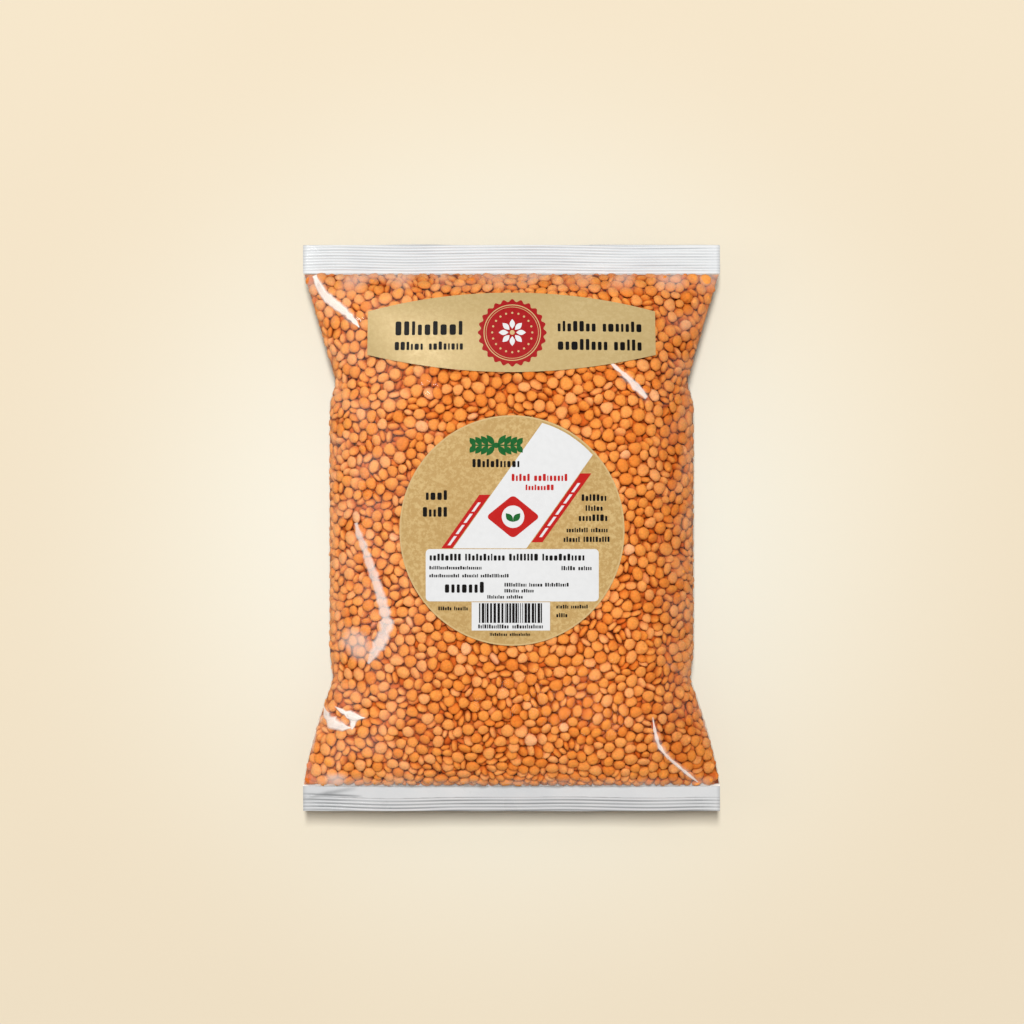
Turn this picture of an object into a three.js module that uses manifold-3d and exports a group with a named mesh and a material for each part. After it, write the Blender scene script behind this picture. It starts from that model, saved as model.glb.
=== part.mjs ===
// A clear pillow bag of split orange lentils with crimped ends and two paper stickers.
// The bag lies on its back: +X runs across it, +Y from its bottom seal to its top seal and +Z up, out of its face.
// The origin is on the table under the middle of the bag. Units are millimetres.

import * as THREE from "three";
import Module from "manifold-3d";
import { mergeVertices } from "three/addons/utils/BufferGeometryUtils.js";

// Driving dimensions of the film
const FLAT_WIDTH = 168; // the empty film tube laid flat, which the sealed ends keep
const BAG_HEIGHT = 228;
const TOP_SEAL = 11.3;
const BOTTOM_SEAL = 10;
const SEAL_THICKNESS = 0.8;
const SEAL_LEVEL = 20; // middle plane of both seals above the table
const FRONT_RISE = 31; // from the seals' plane up to the crown of the face
const BACK_DROP = 24; // from the seals' plane down, before the table flattens the back

// The side outline: ears that taper from each seal to a pinched neck, then a straight waist
const WAIST_HALF = 73.6;
const TOP_NECK_HALF = 71.3;
const BOTTOM_NECK_HALF = 72.3;
const EAR_LENGTH = 43;
const NECK_EASE = 12;
const TOP_EAR_BEND = 1;
const BOTTOM_EAR_BEND = 1.35;

// How the filled body swells. Higher squareness is flatter in the middle and steeper at the edge.
const LENGTH_SQUARENESS = 3.4;
const LENGTH_ROUNDING = 0.55;
const FACE_SQUARENESS = 2.6;
const BACK_SQUARENESS = 4.5;
const EAR_SQUARENESS = 2.4;
const WAIST_ROUNDING = 0.5; // a round side at the waist
const EAR_ROUNDING = 0.62; // a sharper one beside a seal
const EAR_REACH = 1.25; // ear lengths over which the section turns from sharp to round

// Folds of slack film on the face, each a ridge from one point to another
const FOLDS = [
  { from: [-79, 99], to: [-58, 72], height: 2, width: 4.6 },
  { from: [79, 99], to: [62, 76], height: 1.8, width: 4.6 },
  { from: [37, 66], to: [54, 50], height: 1.2, width: 4.2 },
  { from: [-70, 58], to: [-50, 50], height: 1.3, width: 4.2 },
  { from: [70, 57], to: [54, 44], height: 1.2, width: 4.2 },
  { from: [-63, 2], to: [-50, -38], height: 1.4, width: 4.4 },
  { from: [-50, -38], to: [-59, -54], height: 1.2, width: 4.4 },
  { from: [-76, -74], to: [-58, -82], height: 1.6, width: 4.4 },
  { from: [58, -78], to: [63, -92], height: 1.5, width: 4.4 },
  { from: [63, -92], to: [74, -102], height: 1.4, width: 4.4 },
  { from: [-80, -101], to: [-66, -84], height: 1.6, width: 4.4 },
  { from: [72, -62], to: [60, -52], height: 1.1, width: 4.2 },
];
const FOLD_ONSET = 3; // a fold has its whole height where the face has risen by one part in this many

// Crimp ribs
const TOP_RIBS = 9;
const TOP_RIB_PITCH = 1.15;
const BOTTOM_RIBS = 4;
const BOTTOM_RIB_PITCH = 1.35;
const RIB_HEIGHT = 0.35;
const SEAL_OVERLAP = 1.5; // how far a seal runs into the filled body
const SEAL_SWAY = 0.7;
const SWAY_TURNS = 1.25; // waves of the sway over the bag's width
const SWAY_START = 0.1;
const SEAL_COLUMNS = 10;

// Lentils that press through the film
const LENTIL_HEIGHT = 1.25;
const LENTIL_HEIGHT_SPREAD = 0.35;
const LENTIL_JITTER = 0.35;
const FACE_COLUMNS = 48;
const FACE_ROWS = 74;
const BACK_COLUMNS = 14;
const BACK_ROWS = 18;
const BACK_RIM = 0.03; // how far in from the edge the back's first ring lies, as a share of half the size
const EDGE_FADE = 5;
const STICKER_CLEAR = 0.5;
const STICKER_FADE = 3;
const FOLD_FADE = 7;
const SEED = 20417;

// Stickers and their printed fields
const GAP = 0.3;
const PAPER = 0.35;
const PRINT = 0.25;
const BANNER = { centreY: 77.4, halfWidth: 57, endHalf: 8.7, middleHalf: 16 };
const BADGE = { x: 0.3, y: 77.1, radius: 13, teeth: 24, tooth: 0.045 };
const ROUND = { x: 0.2, y: -0.8, halfWidth: 44.2, halfHeight: 45.2 };
const INFO = { left: -33.6, right: 34.2, low: -28.6, high: -8.1, corner: 1.6 };
const CODE = { left: -15.6, right: 15.1, low: -40, high: -28.9 };
const BAND_SLOPE = 0.71; // sideways run of the diagonal band for each unit of rise
const BAND_FOOT_LEFT = -23.1;
const BAND_FOOT_RIGHT = 5.6;
const BAND_RIM = 1.3;
const STRIPE_WIDTH = 4.3;
const LEFT_STRIPE_TOP = 13.2;
const RIGHT_STRIPE = { low: -5.4, high: 21.6 };
const ROUND_SEGMENTS = 40;
const ROUND_RINGS = 7;
const BADGE_RINGS = 3;
// Cells across and along each sheet, fine enough to follow the face
const CELLS = { banner: [24, 9], band: [6, 10], stripe: [1, 6], info: [18, 4], code: [6, 3] };

// Steps and tolerances of the calculation
const NORMAL_STEP = 0.5;
const PROFILE_STEPS = 400;
const BAND_STEP = 0.05;
const WELD = 1e-4;
const ON_LINE = 1e-6;

const HALF_HEIGHT = BAG_HEIGHT / 2;
const HALF_FLAT = FLAT_WIDTH / 2;
const TOP_LINE = HALF_HEIGHT - TOP_SEAL;
const BOTTOM_LINE = BOTTOM_SEAL - HALF_HEIGHT;
const BODY_MIDDLE = (TOP_LINE + BOTTOM_LINE) / 2;
const BODY_HALF = (TOP_LINE - BOTTOM_LINE) / 2;

const { clamp, lerp, smoothstep } = THREE.MathUtils;

// A repeatable random number from 0 to 1
function seededRandom(seed) {
  const multiplier = 1664525;
  const increment = 1013904223;
  const modulus = 2 ** 32;
  let state = seed;
  return () => {
    state = (state * multiplier + increment) % modulus;
    return state / modulus;
  };
}

// Distance along the bag from y to the nearer seal line
function toSeal(y) {
  return Math.min(TOP_LINE - y, y - BOTTOM_LINE);
}

// Half the bag's width at y: an ear, a neck, or the waist
function halfWidth(y) {
  const fromSeal = Math.max(toSeal(y), 0);
  const top = y > BODY_MIDDLE;
  const neck = top ? TOP_NECK_HALF : BOTTOM_NECK_HALF;
  if (fromSeal < EAR_LENGTH) {
    const bend = top ? TOP_EAR_BEND : BOTTOM_EAR_BEND;
    return HALF_FLAT - (HALF_FLAT - neck) * (fromSeal / EAR_LENGTH) ** bend;
  }
  return lerp(neck, WAIST_HALF, smoothstep(fromSeal, EAR_LENGTH, EAR_LENGTH + NECK_EASE));
}

// Share of the full thickness at y, from 0 at a seal line to 1 in the middle
function lengthwise(y) {
  const t = Math.min(Math.abs(y - BODY_MIDDLE) / BODY_HALF, 1);
  return (1 - t ** LENGTH_SQUARENESS) ** LENGTH_ROUNDING;
}

// Share of the thickness at s, from 0 in the middle to 1 at the side edge. An ear is sharp there, the waist is round.
function across(s, y, squareness) {
  const ear = 1 - smoothstep(toSeal(y), 0, EAR_LENGTH * EAR_REACH);
  const power = lerp(squareness, EAR_SQUARENESS, ear);
  return Math.max(1 - Math.min(Math.abs(s), 1) ** power, 0) ** lerp(WAIST_ROUNDING, EAR_ROUNDING, ear);
}

// Half the banner's height at x: an arc between its short straight ends
function bannerHalf(x) {
  const s = Math.min(Math.abs(x) / BANNER.halfWidth, 1);
  return lerp(BANNER.middleHalf, BANNER.endHalf, s ** 2);
}

// Rough distance from the nearer sticker's edge, negative under a sticker
function fromStickers(x, y) {
  const banner = Math.max(Math.abs(x) - BANNER.halfWidth, Math.abs(y - BANNER.centreY) - bannerHalf(x));
  const share = Math.hypot((x - ROUND.x) / ROUND.halfWidth, (y - ROUND.y) / ROUND.halfHeight);
  return Math.min(banner, (share - 1) * ROUND.halfWidth);
}

// Height of the folds at a point of the face. They die out beside the stickers.
function foldHeight(x, y) {
  let height = 0;
  for (const { from, to, height: crest, width } of FOLDS) {
    const run = new THREE.Vector2(to[0] - from[0], to[1] - from[1]);
    const point = new THREE.Vector2(x - from[0], y - from[1]);
    const along = clamp(point.dot(run) / run.lengthSq(), 0, 1);
    const off = point.distanceTo(run.multiplyScalar(along));
    height = Math.max(height, crest * Math.exp(-((off / width) ** 2)));
  }
  return height * smoothstep(fromStickers(x, y), STICKER_CLEAR, STICKER_CLEAR + FOLD_FADE);
}

// The face's smooth height over the table
function faceHeight(x, y) {
  const share = lengthwise(y) * across(x / halfWidth(y), y, FACE_SQUARENESS);
  return SEAL_LEVEL + FRONT_RISE * share + foldHeight(x, y) * Math.min(share * FOLD_ONSET, 1);
}

// The back's height over the table, which flattens it
function backHeight(x, y) {
  const share = lengthwise(y) * across(x / halfWidth(y), y, BACK_SQUARENESS);
  return Math.max(SEAL_LEVEL - BACK_DROP * share, 0);
}

// Places from -1 to 1 that are evenly spaced along a height profile of the given half length
function evenPlaces(count, halfLength, heightAt) {
  const lengths = [0];
  const place = (i) => Math.sin((-1 + (2 * i) / PROFILE_STEPS) * (Math.PI / 2));
  for (let i = 1; i <= PROFILE_STEPS; i++) {
    const run = (place(i) - place(i - 1)) * halfLength;
    const rise = heightAt(place(i)) - heightAt(place(i - 1));
    lengths.push(lengths[i - 1] + Math.hypot(run, rise));
  }
  return Array.from({ length: count + 1 }, (_, k) => {
    const wanted = (lengths[PROFILE_STEPS] * k) / count;
    const i = clamp(lengths.findIndex((length) => length >= wanted), 1, PROFILE_STEPS);
    const part = (wanted - lengths[i - 1]) / (lengths[i] - lengths[i - 1]);
    return lerp(place(i - 1), place(i), part);
  });
}

// How far the lentils show at a point: not near the edges, nor under the stickers, which lie smooth
function lentilShare(x, y) {
  const edge = Math.min(toSeal(y), halfWidth(y) - Math.abs(x)) / EDGE_FADE;
  return clamp(edge, 0, 1) * clamp((fromStickers(x, y) - STICKER_CLEAR) / STICKER_FADE, 0, 1);
}

// The outward direction of the face at a point
function faceNormal(x, y) {
  const slopeX = (faceHeight(x + NORMAL_STEP, y) - faceHeight(x - NORMAL_STEP, y)) / (2 * NORMAL_STEP);
  const slopeY = (faceHeight(x, y + NORMAL_STEP) - faceHeight(x, y - NORMAL_STEP)) / (2 * NORMAL_STEP);
  return new THREE.Vector3(-slopeX, -slopeY, 1).normalize();
}

// A closed geometry from points and triangles
function geometryOf(points, triangles) {
  const geometry = new THREE.BufferGeometry().setFromPoints(points);
  geometry.setIndex(triangles.flat());
  geometry.computeVertexNormals();
  return geometry;
}

// Fills the strip between two chains of point numbers whose ends lie side by side
function zip(first, second, triangles) {
  let i = 0;
  let j = 0;
  while (i < first.length - 1 || j < second.length - 1) {
    const nextFirst = (i + 1) / (first.length - 1);
    const nextSecond = (j + 1) / (second.length - 1);
    if (j === second.length - 1 || (i < first.length - 1 && nextFirst <= nextSecond)) {
      triangles.push([first[i], first[i + 1], second[j]]);
      i += 1;
    } else {
      triangles.push([first[i], second[j + 1], second[j]]);
      j += 1;
    }
  }
}

// The filled body: a triangular lattice on the face, where every third point is a lentil, and a coarse flattened back
function bodyGeometry() {
  const random = seededRandom(SEED);
  const points = [];
  const triangles = [];
  const columns = evenPlaces(FACE_COLUMNS, WAIST_HALF, (s) => faceHeight(s * WAIST_HALF, 0));
  const rows = evenPlaces(FACE_ROWS, BODY_HALF, (t) => faceHeight(0, BODY_MIDDLE + t * BODY_HALF));
  const add = (point) => points.push(point) - 1;

  const facePoint = (s, y, crest) => {
    const x = s * halfWidth(y);
    if (Math.abs(s) === 1 || toSeal(y) < ON_LINE) return new THREE.Vector3(x, y, SEAL_LEVEL);
    const share = lentilShare(x, y);
    const jitter = () => (random() - 0.5) * 2 * LENTIL_JITTER * share;
    const spot = new THREE.Vector3(x + jitter(), y + jitter(), 0);
    spot.z = faceHeight(spot.x, spot.y);
    const lift = crest ? LENTIL_HEIGHT + (random() - 0.5) * 2 * LENTIL_HEIGHT_SPREAD : 0;
    return spot.addScaledVector(faceNormal(spot.x, spot.y), lift * share);
  };

  const face = rows.map((t, row) => {
    const y = BODY_MIDDLE + t * BODY_HALF;
    const shifted = row % 2 === 1;
    const places = shifted
      ? [-1, ...columns.slice(1).map((s, i) => (s + columns[i]) / 2), 1]
      : columns;
    const isCrest = (i) => (i - Math.ceil(row / 2) - row + 3 * FACE_ROWS) % 3 === 0;
    return places.map((s, i) => add(facePoint(s, y, isCrest(i))));
  });
  for (let row = 0; row < FACE_ROWS; row++) zip(face[row], face[row + 1], triangles);

  const withRim = (places) => [BACK_RIM - 1, ...places.slice(1, -1), 1 - BACK_RIM];
  const backColumns = withRim(evenPlaces(BACK_COLUMNS, WAIST_HALF, (s) => backHeight(s * WAIST_HALF, 0)));
  const backRows = withRim(evenPlaces(BACK_ROWS, BODY_HALF, (t) => backHeight(0, BODY_MIDDLE + t * BODY_HALF)));
  const back = backRows.map((t) => {
    const y = BODY_MIDDLE + t * BODY_HALF;
    return backColumns.map((s) => add(new THREE.Vector3(s * halfWidth(y), y, backHeight(s * halfWidth(y), y))));
  });
  for (let row = 0; row < back.length - 1; row++) zip(back[row + 1], back[row], triangles);

  const last = back.length - 1;
  const side = (grid, pick) => grid.map((row) => row.at(pick));
  zip(back[0], face[0], triangles);
  zip(face[FACE_ROWS], back[last], triangles);
  zip(side(face, 0), side(back, 0), triangles);
  zip(side(back, -1), side(face, -1), triangles);
  return geometryOf(points, triangles);
}

// A closed slab between a top and an underside, each a function of two shares from 0 to 1
function slabGeometry(columns, rows, top, underside) {
  const points = [];
  const triangles = [];
  const grid = (surface) =>
    Array.from({ length: rows + 1 }, (_, j) =>
      Array.from({ length: columns + 1 }, (_, i) => points.push(surface(i / columns, j / rows)) - 1),
    );
  const over = grid(top);
  const under = grid(underside);
  const quad = (a, b, c, d) => triangles.push([a, b, c], [a, c, d]);
  for (let j = 0; j < rows; j++) {
    for (let i = 0; i < columns; i++) {
      quad(over[j][i], over[j][i + 1], over[j + 1][i + 1], over[j + 1][i]);
      quad(under[j][i], under[j + 1][i], under[j + 1][i + 1], under[j][i + 1]);
    }
    quad(over[j][0], over[j + 1][0], under[j + 1][0], under[j][0]);
    quad(over[j][columns], under[j][columns], under[j + 1][columns], over[j + 1][columns]);
  }
  for (let i = 0; i < columns; i++) {
    quad(over[0][i], under[0][i], under[0][i + 1], over[0][i + 1]);
    quad(over[rows][i], over[rows][i + 1], under[rows][i + 1], under[rows][i]);
  }
  return geometryOf(points, triangles);
}

// A crimped end: a plain strip beside the body, then ribs out to the cut edge
function sealGeometry(innerY, outerY, ribs, pitch) {
  const outward = Math.sign(outerY - innerY);
  const ribbed = ribs * pitch;
  const plain = Math.abs(outerY - innerY) - ribbed;
  const ribRows = ribs * 2;
  const rows = ribRows + 1;
  const spot = (u, v, side) => {
    const fromLeft = outward > 0 ? u : 1 - u;
    const x = lerp(-HALF_FLAT, HALF_FLAT, fromLeft);
    const row = Math.round(v * rows);
    const from = row === 0 ? 0 : plain + ((row - 1) / ribRows) * ribbed;
    const rib = row > 0 && row % 2 === 0 ? RIB_HEIGHT : 0;
    const wave = Math.sin((fromLeft * SWAY_TURNS + SWAY_START) * 2 * Math.PI);
    const sway = SEAL_SWAY * wave * smoothstep(from, 0, plain + ribbed);
    const z = SEAL_LEVEL + sway + rib + (side * SEAL_THICKNESS) / 2;
    return new THREE.Vector3(x, innerY + outward * from, z);
  };
  return slabGeometry(SEAL_COLUMNS, rows, (u, v) => spot(u, v, 1), (u, v) => spot(u, v, -1));
}

const wasm = await Module();
wasm.setup();

// A manifold solid from a closed geometry
function solidOf(geometry) {
  const bare = geometry.clone();
  bare.deleteAttribute("normal");
  const merged = mergeVertices(bare, WELD);
  return new wasm.Manifold(
    new wasm.Mesh({
      numProp: 3,
      vertProperties: merged.attributes.position.array,
      triVerts: new Uint32Array(merged.index.array),
    }),
  );
}

// A geometry from a manifold solid
function geometryOfSolid(solid) {
  const { vertProperties, triVerts } = solid.getMesh();
  const geometry = new THREE.BufferGeometry();
  geometry.setAttribute("position", new THREE.BufferAttribute(vertProperties, 3));
  geometry.setIndex(new THREE.BufferAttribute(triVerts, 1));
  geometry.computeVertexNormals();
  return geometry;
}

// The whole bag is one film, so its body and both crimped ends are one solid
function bagGeometry() {
  const topSeal = sealGeometry(TOP_LINE - SEAL_OVERLAP, HALF_HEIGHT, TOP_RIBS, TOP_RIB_PITCH);
  const bottomSeal = sealGeometry(BOTTOM_LINE + SEAL_OVERLAP, -HALF_HEIGHT, BOTTOM_RIBS, BOTTOM_RIB_PITCH);
  return geometryOfSolid(solidOf(bodyGeometry()).add(solidOf(topSeal)).add(solidOf(bottomSeal)));
}

// A sheet that lies on the face: plan turns two shares into a place seen from the front
function sheetGeometry([columns, rows], plan, lift, thickness) {
  const at = (u, v, height) => {
    const [x, y] = plan(u, v);
    return new THREE.Vector3(x, y, faceHeight(x, y)).addScaledVector(faceNormal(x, y), height);
  };
  return slabGeometry(columns, rows, (u, v) => at(u, v, lift + thickness), (u, v) => at(u, v, lift));
}

// A round sheet on the face, out to rim(angle), with its middle at x, y
function roundSheetGeometry(x, y, segments, rings, rim, lift, thickness) {
  const points = [];
  const triangles = [];
  const add = (angle, share, height) => {
    const [rx, ry] = rim(angle);
    const px = x + rx * share;
    const py = y + ry * share;
    const spot = new THREE.Vector3(px, py, faceHeight(px, py));
    return points.push(spot.addScaledVector(faceNormal(px, py), height)) - 1;
  };
  const layer = (height) => {
    const middle = add(0, 0, height);
    const circles = Array.from({ length: rings }, (_, ring) =>
      Array.from({ length: segments }, (_, i) => add((i / segments) * 2 * Math.PI, (ring + 1) / rings, height)),
    );
    return { middle, circles };
  };
  const over = layer(lift + thickness);
  const under = layer(lift);
  for (let i = 0; i < segments; i++) {
    const next = (i + 1) % segments;
    triangles.push([over.middle, over.circles[0][i], over.circles[0][next]]);
    triangles.push([under.middle, under.circles[0][next], under.circles[0][i]]);
    for (let ring = 1; ring < rings; ring++) {
      const [inner, outer] = [over.circles[ring - 1], over.circles[ring]];
      triangles.push([inner[i], outer[i], outer[next]], [inner[i], outer[next], inner[next]]);
      const [low, wide] = [under.circles[ring - 1], under.circles[ring]];
      triangles.push([low[i], wide[next], wide[i]], [low[i], low[next], wide[next]]);
    }
    const [edge, foot] = [over.circles[rings - 1], under.circles[rings - 1]];
    triangles.push([edge[i], foot[i], foot[next]], [edge[i], foot[next], edge[next]]);
  }
  return geometryOf(points, triangles);
}

// The plan of a rectangle with rounded corners
function panelPlan({ left, right, low, high, corner = 0 }) {
  return (u, v) => {
    const x = lerp(left, right, u);
    const fromEnd = Math.min(x - left, right - x);
    const short = fromEnd < corner ? corner - Math.sqrt(corner ** 2 - (corner - fromEnd) ** 2) : 0;
    return [x, lerp(low + short, high - short, v)];
  };
}

// How high a diagonal edge with the given foot reaches before it meets the round sticker's rim
function bandTop(foot) {
  let high = INFO.high;
  const inside = (y) =>
    Math.hypot(
      (foot + (y - INFO.high) * BAND_SLOPE - ROUND.x) / (ROUND.halfWidth - BAND_RIM),
      (y - ROUND.y) / (ROUND.halfHeight - BAND_RIM),
    ) < 1;
  while (inside(high + BAND_STEP)) high += BAND_STEP;
  return high;
}

// The plan of a diagonal strip between two feet on the info panel's top edge
function bandPlan(leftFoot, rightFoot, lowAt, highAt) {
  return (u, v) => {
    const foot = lerp(leftFoot, rightFoot, u);
    const y = lerp(lowAt(foot), highAt(foot), v);
    return [foot + (y - INFO.high) * BAND_SLOPE, y];
  };
}

const bandLow = () => INFO.high + GAP;
const paperTop = GAP + PAPER;
const printLift = paperTop + GAP;

// Rim of the scalloped badge
function badgeRim(angle) {
  const radius = BADGE.radius * (1 + BADGE.tooth * Math.cos(angle * BADGE.teeth));
  return [radius * Math.cos(angle), radius * Math.sin(angle)];
}

// Rim of the round sticker
function roundRim(angle) {
  return [ROUND.halfWidth * Math.cos(angle), ROUND.halfHeight * Math.sin(angle)];
}

const finish = {
  lentils: new THREE.MeshStandardMaterial({ color: 0xdf8443, roughness: 0.45, metalness: 0 }),
  goldPaper: new THREE.MeshStandardMaterial({ color: 0xd6b57d, roughness: 0.55, metalness: 0.1 }),
  whitePrint: new THREE.MeshStandardMaterial({ color: 0xeeecea, roughness: 0.5, metalness: 0 }),
  redPrint: new THREE.MeshStandardMaterial({ color: 0xb9292a, roughness: 0.5, metalness: 0 }),
};

const bag = new THREE.Group();

// Adds one named piece
function addPiece(name, geometry, material) {
  const mesh = new THREE.Mesh(geometry, material);
  mesh.name = name;
  bag.add(mesh);
}

// A printed field on the round sticker
function printed(cells, plan) {
  return sheetGeometry(cells, plan, printLift, PRINT);
}

addPiece("lentil_bag", bagGeometry(), finish.lentils);

const bannerPlan = (u, v) => {
  const x = lerp(-BANNER.halfWidth, BANNER.halfWidth, u);
  return [x, BANNER.centreY + lerp(-bannerHalf(x), bannerHalf(x), v)];
};
addPiece("banner_sticker", sheetGeometry(CELLS.banner, bannerPlan, GAP, PAPER), finish.goldPaper);
addPiece(
  "banner_badge",
  roundSheetGeometry(BADGE.x, BADGE.y, BADGE.teeth * 2, BADGE_RINGS, badgeRim, printLift, PRINT),
  finish.redPrint,
);

addPiece(
  "round_sticker",
  roundSheetGeometry(ROUND.x, ROUND.y, ROUND_SEGMENTS, ROUND_RINGS, roundRim, GAP, PAPER),
  finish.goldPaper,
);

const leftOuter = BAND_FOOT_LEFT - GAP;
const rightOuter = BAND_FOOT_RIGHT + GAP;
const bandSpan = bandPlan(BAND_FOOT_LEFT, BAND_FOOT_RIGHT, bandLow, bandTop);
const leftSpan = bandPlan(leftOuter - STRIPE_WIDTH, leftOuter, bandLow, () => LEFT_STRIPE_TOP);
const rightSpan = bandPlan(
  rightOuter,
  rightOuter + STRIPE_WIDTH,
  () => RIGHT_STRIPE.low,
  () => RIGHT_STRIPE.high,
);
addPiece("diagonal_band", printed(CELLS.band, bandSpan), finish.whitePrint);
addPiece("left_stripe", printed(CELLS.stripe, leftSpan), finish.redPrint);
addPiece("right_stripe", printed(CELLS.stripe, rightSpan), finish.redPrint);
addPiece("info_panel", printed(CELLS.info, panelPlan(INFO)), finish.whitePrint);
addPiece("code_panel", printed(CELLS.code, panelPlan(CODE)), finish.whitePrint);

export default bag;
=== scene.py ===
"""A clear pillow bag full of split orange lentils, lying on its back with its stickers up.

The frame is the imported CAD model: +X runs across the bag, +Y from its bottom seal to its top seal and +Z up,
out of its face. The classes hold their sizes in millimetres, and every mesh is written in metres.
"""

import logging
import math
from dataclasses import dataclass, field
from enum import Enum
from functools import partial
from typing import Callable

import bmesh
import bpy
import numpy as np
from mathutils import Matrix, Vector
from mathutils.kdtree import KDTree

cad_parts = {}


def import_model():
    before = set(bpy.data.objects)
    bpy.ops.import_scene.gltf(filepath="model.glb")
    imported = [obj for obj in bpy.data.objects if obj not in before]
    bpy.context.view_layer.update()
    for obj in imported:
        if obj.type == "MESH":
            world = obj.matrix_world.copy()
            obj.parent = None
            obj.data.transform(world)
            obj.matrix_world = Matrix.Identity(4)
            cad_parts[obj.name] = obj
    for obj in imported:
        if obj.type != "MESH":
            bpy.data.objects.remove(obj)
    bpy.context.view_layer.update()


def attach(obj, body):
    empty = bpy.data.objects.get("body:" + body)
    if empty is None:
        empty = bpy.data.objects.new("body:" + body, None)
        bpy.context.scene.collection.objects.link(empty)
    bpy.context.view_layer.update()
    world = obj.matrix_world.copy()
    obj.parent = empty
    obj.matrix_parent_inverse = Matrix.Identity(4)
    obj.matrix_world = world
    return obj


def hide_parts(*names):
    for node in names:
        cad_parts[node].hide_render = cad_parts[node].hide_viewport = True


MM = 0.001
BODY = "root"
BAG_NODE = "lentil_bag"
WELD = 0.02

Colour = tuple[float, float, float, float]
log = logging.getLogger("lentil_bag")


def tint(red: int, green: int, blue: int) -> Colour:
    """Turn a screen colour into the linear colour that a shader takes.

    Args:
        red: Red from 0 to 255.
        green: Green from 0 to 255.
        blue: Blue from 0 to 255.

    Returns:
        The linear colour with an alpha of 1.
    """
    knee = 0.04045
    parts = [value / 255 for value in (red, green, blue)]
    linear = [part / 12.92 if part <= knee else ((part + 0.055) / 1.055) ** 2.4 for part in parts]
    return (linear[0], linear[1], linear[2], 1.0)


def ease(value: np.ndarray, low: float, high: float) -> np.ndarray:
    """Give 0 below low, 1 above high and a smooth step between them."""
    part = np.clip((value - low) / (high - low), 0, 1)
    return part * part * (3 - 2 * part)


def fill_grid(
    bm: bmesh.types.BMesh,
    points: np.ndarray,
    *layers: tuple[bmesh.types.BMLayerItem, np.ndarray],
) -> list[bmesh.types.BMVert]:
    """Add a grid of faces with its corners on given points.

    Args:
        bm: The bmesh that it goes into.
        points: Points in millimetres, shaped rows + 1, columns + 1, 3.
        layers: A layer and its values, point by point, for each value that the corners carry.

    Returns:
        The grid's corners.
    """
    rows, columns = points.shape[0] - 1, points.shape[1] - 1
    made = bmesh.ops.create_grid(bm, x_segments=columns, y_segments=rows, size=1.0)["verts"]
    for vert in made:
        column = round((vert.co.x + 1) / 2 * columns)
        row = round((vert.co.y + 1) / 2 * rows)
        vert.co = Vector(points[row, column]) * MM
        for layer, values in layers:
            vert[layer] = float(values[row, column])
    return made


def turn_over(bm: bmesh.types.BMesh, verts: list[bmesh.types.BMVert]) -> None:
    """Turn the faces at some corners to look the other way."""
    bmesh.ops.reverse_faces(bm, faces=list({face for vert in verts for face in vert.link_faces}))


def thicken(bm: bmesh.types.BMesh, thickness: float) -> None:
    """Turn an open sheet into a closed one of some thickness in millimetres."""
    bmesh.ops.recalc_face_normals(bm, faces=bm.faces)
    bmesh.ops.solidify(bm, geom=bm.faces[:], thickness=thickness * MM)
    bmesh.ops.recalc_face_normals(bm, faces=bm.faces)


class Side(Enum):
    """The two halves of the film tube."""

    FRONT = 1
    BACK = -1


@dataclass(frozen=True)
class Fold:
    """A ridge of slack film on the face, with a height, a width and a painted crest: highlight and stress
    whitening on the film, shade on the seals.
    """

    path: tuple[tuple[float, float], ...]
    height: float
    width: float
    painted_crest: float = 0.5

    def distance(self, x: np.ndarray, y: np.ndarray) -> tuple[np.ndarray, np.ndarray]:
        """Measure how far points lie from the fold's line.

        Args:
            x: Places across the bag.
            y: Places along the bag.

        Returns:
            The distance to the line, and the share of the way along it.
        """
        best = np.full(np.shape(x), np.inf)
        share = np.zeros(np.shape(x))
        count = len(self.path) - 1
        for number, (start, end) in enumerate(zip(self.path, self.path[1:])):
            run_x, run_y = end[0] - start[0], end[1] - start[1]
            along = ((x - start[0]) * run_x + (y - start[1]) * run_y) / (run_x**2 + run_y**2)
            along = np.clip(along, 0, 1)
            off = np.hypot(x - start[0] - along * run_x, y - start[1] - along * run_y)
            share = np.where(off < best, (number + along) / count, share)
            best = np.minimum(best, off)
        return best, share


@dataclass
class Ripple:
    """A smooth random field: many seeded waves added up."""

    length: float
    seed: int
    waves: int = 28
    stretch: float = 1.0

    def __post_init__(self) -> None:
        """Draw the waves."""
        random = np.random.default_rng(self.seed)
        angle = random.uniform(0, 2 * math.pi, self.waves)
        pace = 2 * math.pi / (self.length * random.uniform(0.7, 1.5, self.waves))
        self.pace_x = pace * np.cos(angle)
        self.pace_y = pace * np.sin(angle) / self.stretch
        self.start = random.uniform(0, 2 * math.pi, self.waves)

    def at(self, x: np.ndarray, y: np.ndarray) -> np.ndarray:
        """Give the field at points, mostly between -1 and 1.

        Args:
            x: Places across the bag.
            y: Places along the bag.

        Returns:
            The field's values.
        """
        total = np.zeros(np.shape(x))
        for pace_x, pace_y, start in zip(self.pace_x, self.pace_y, self.start):
            total += np.sin(x * pace_x + y * pace_y + start)
        return total / math.sqrt(self.waves)


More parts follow.
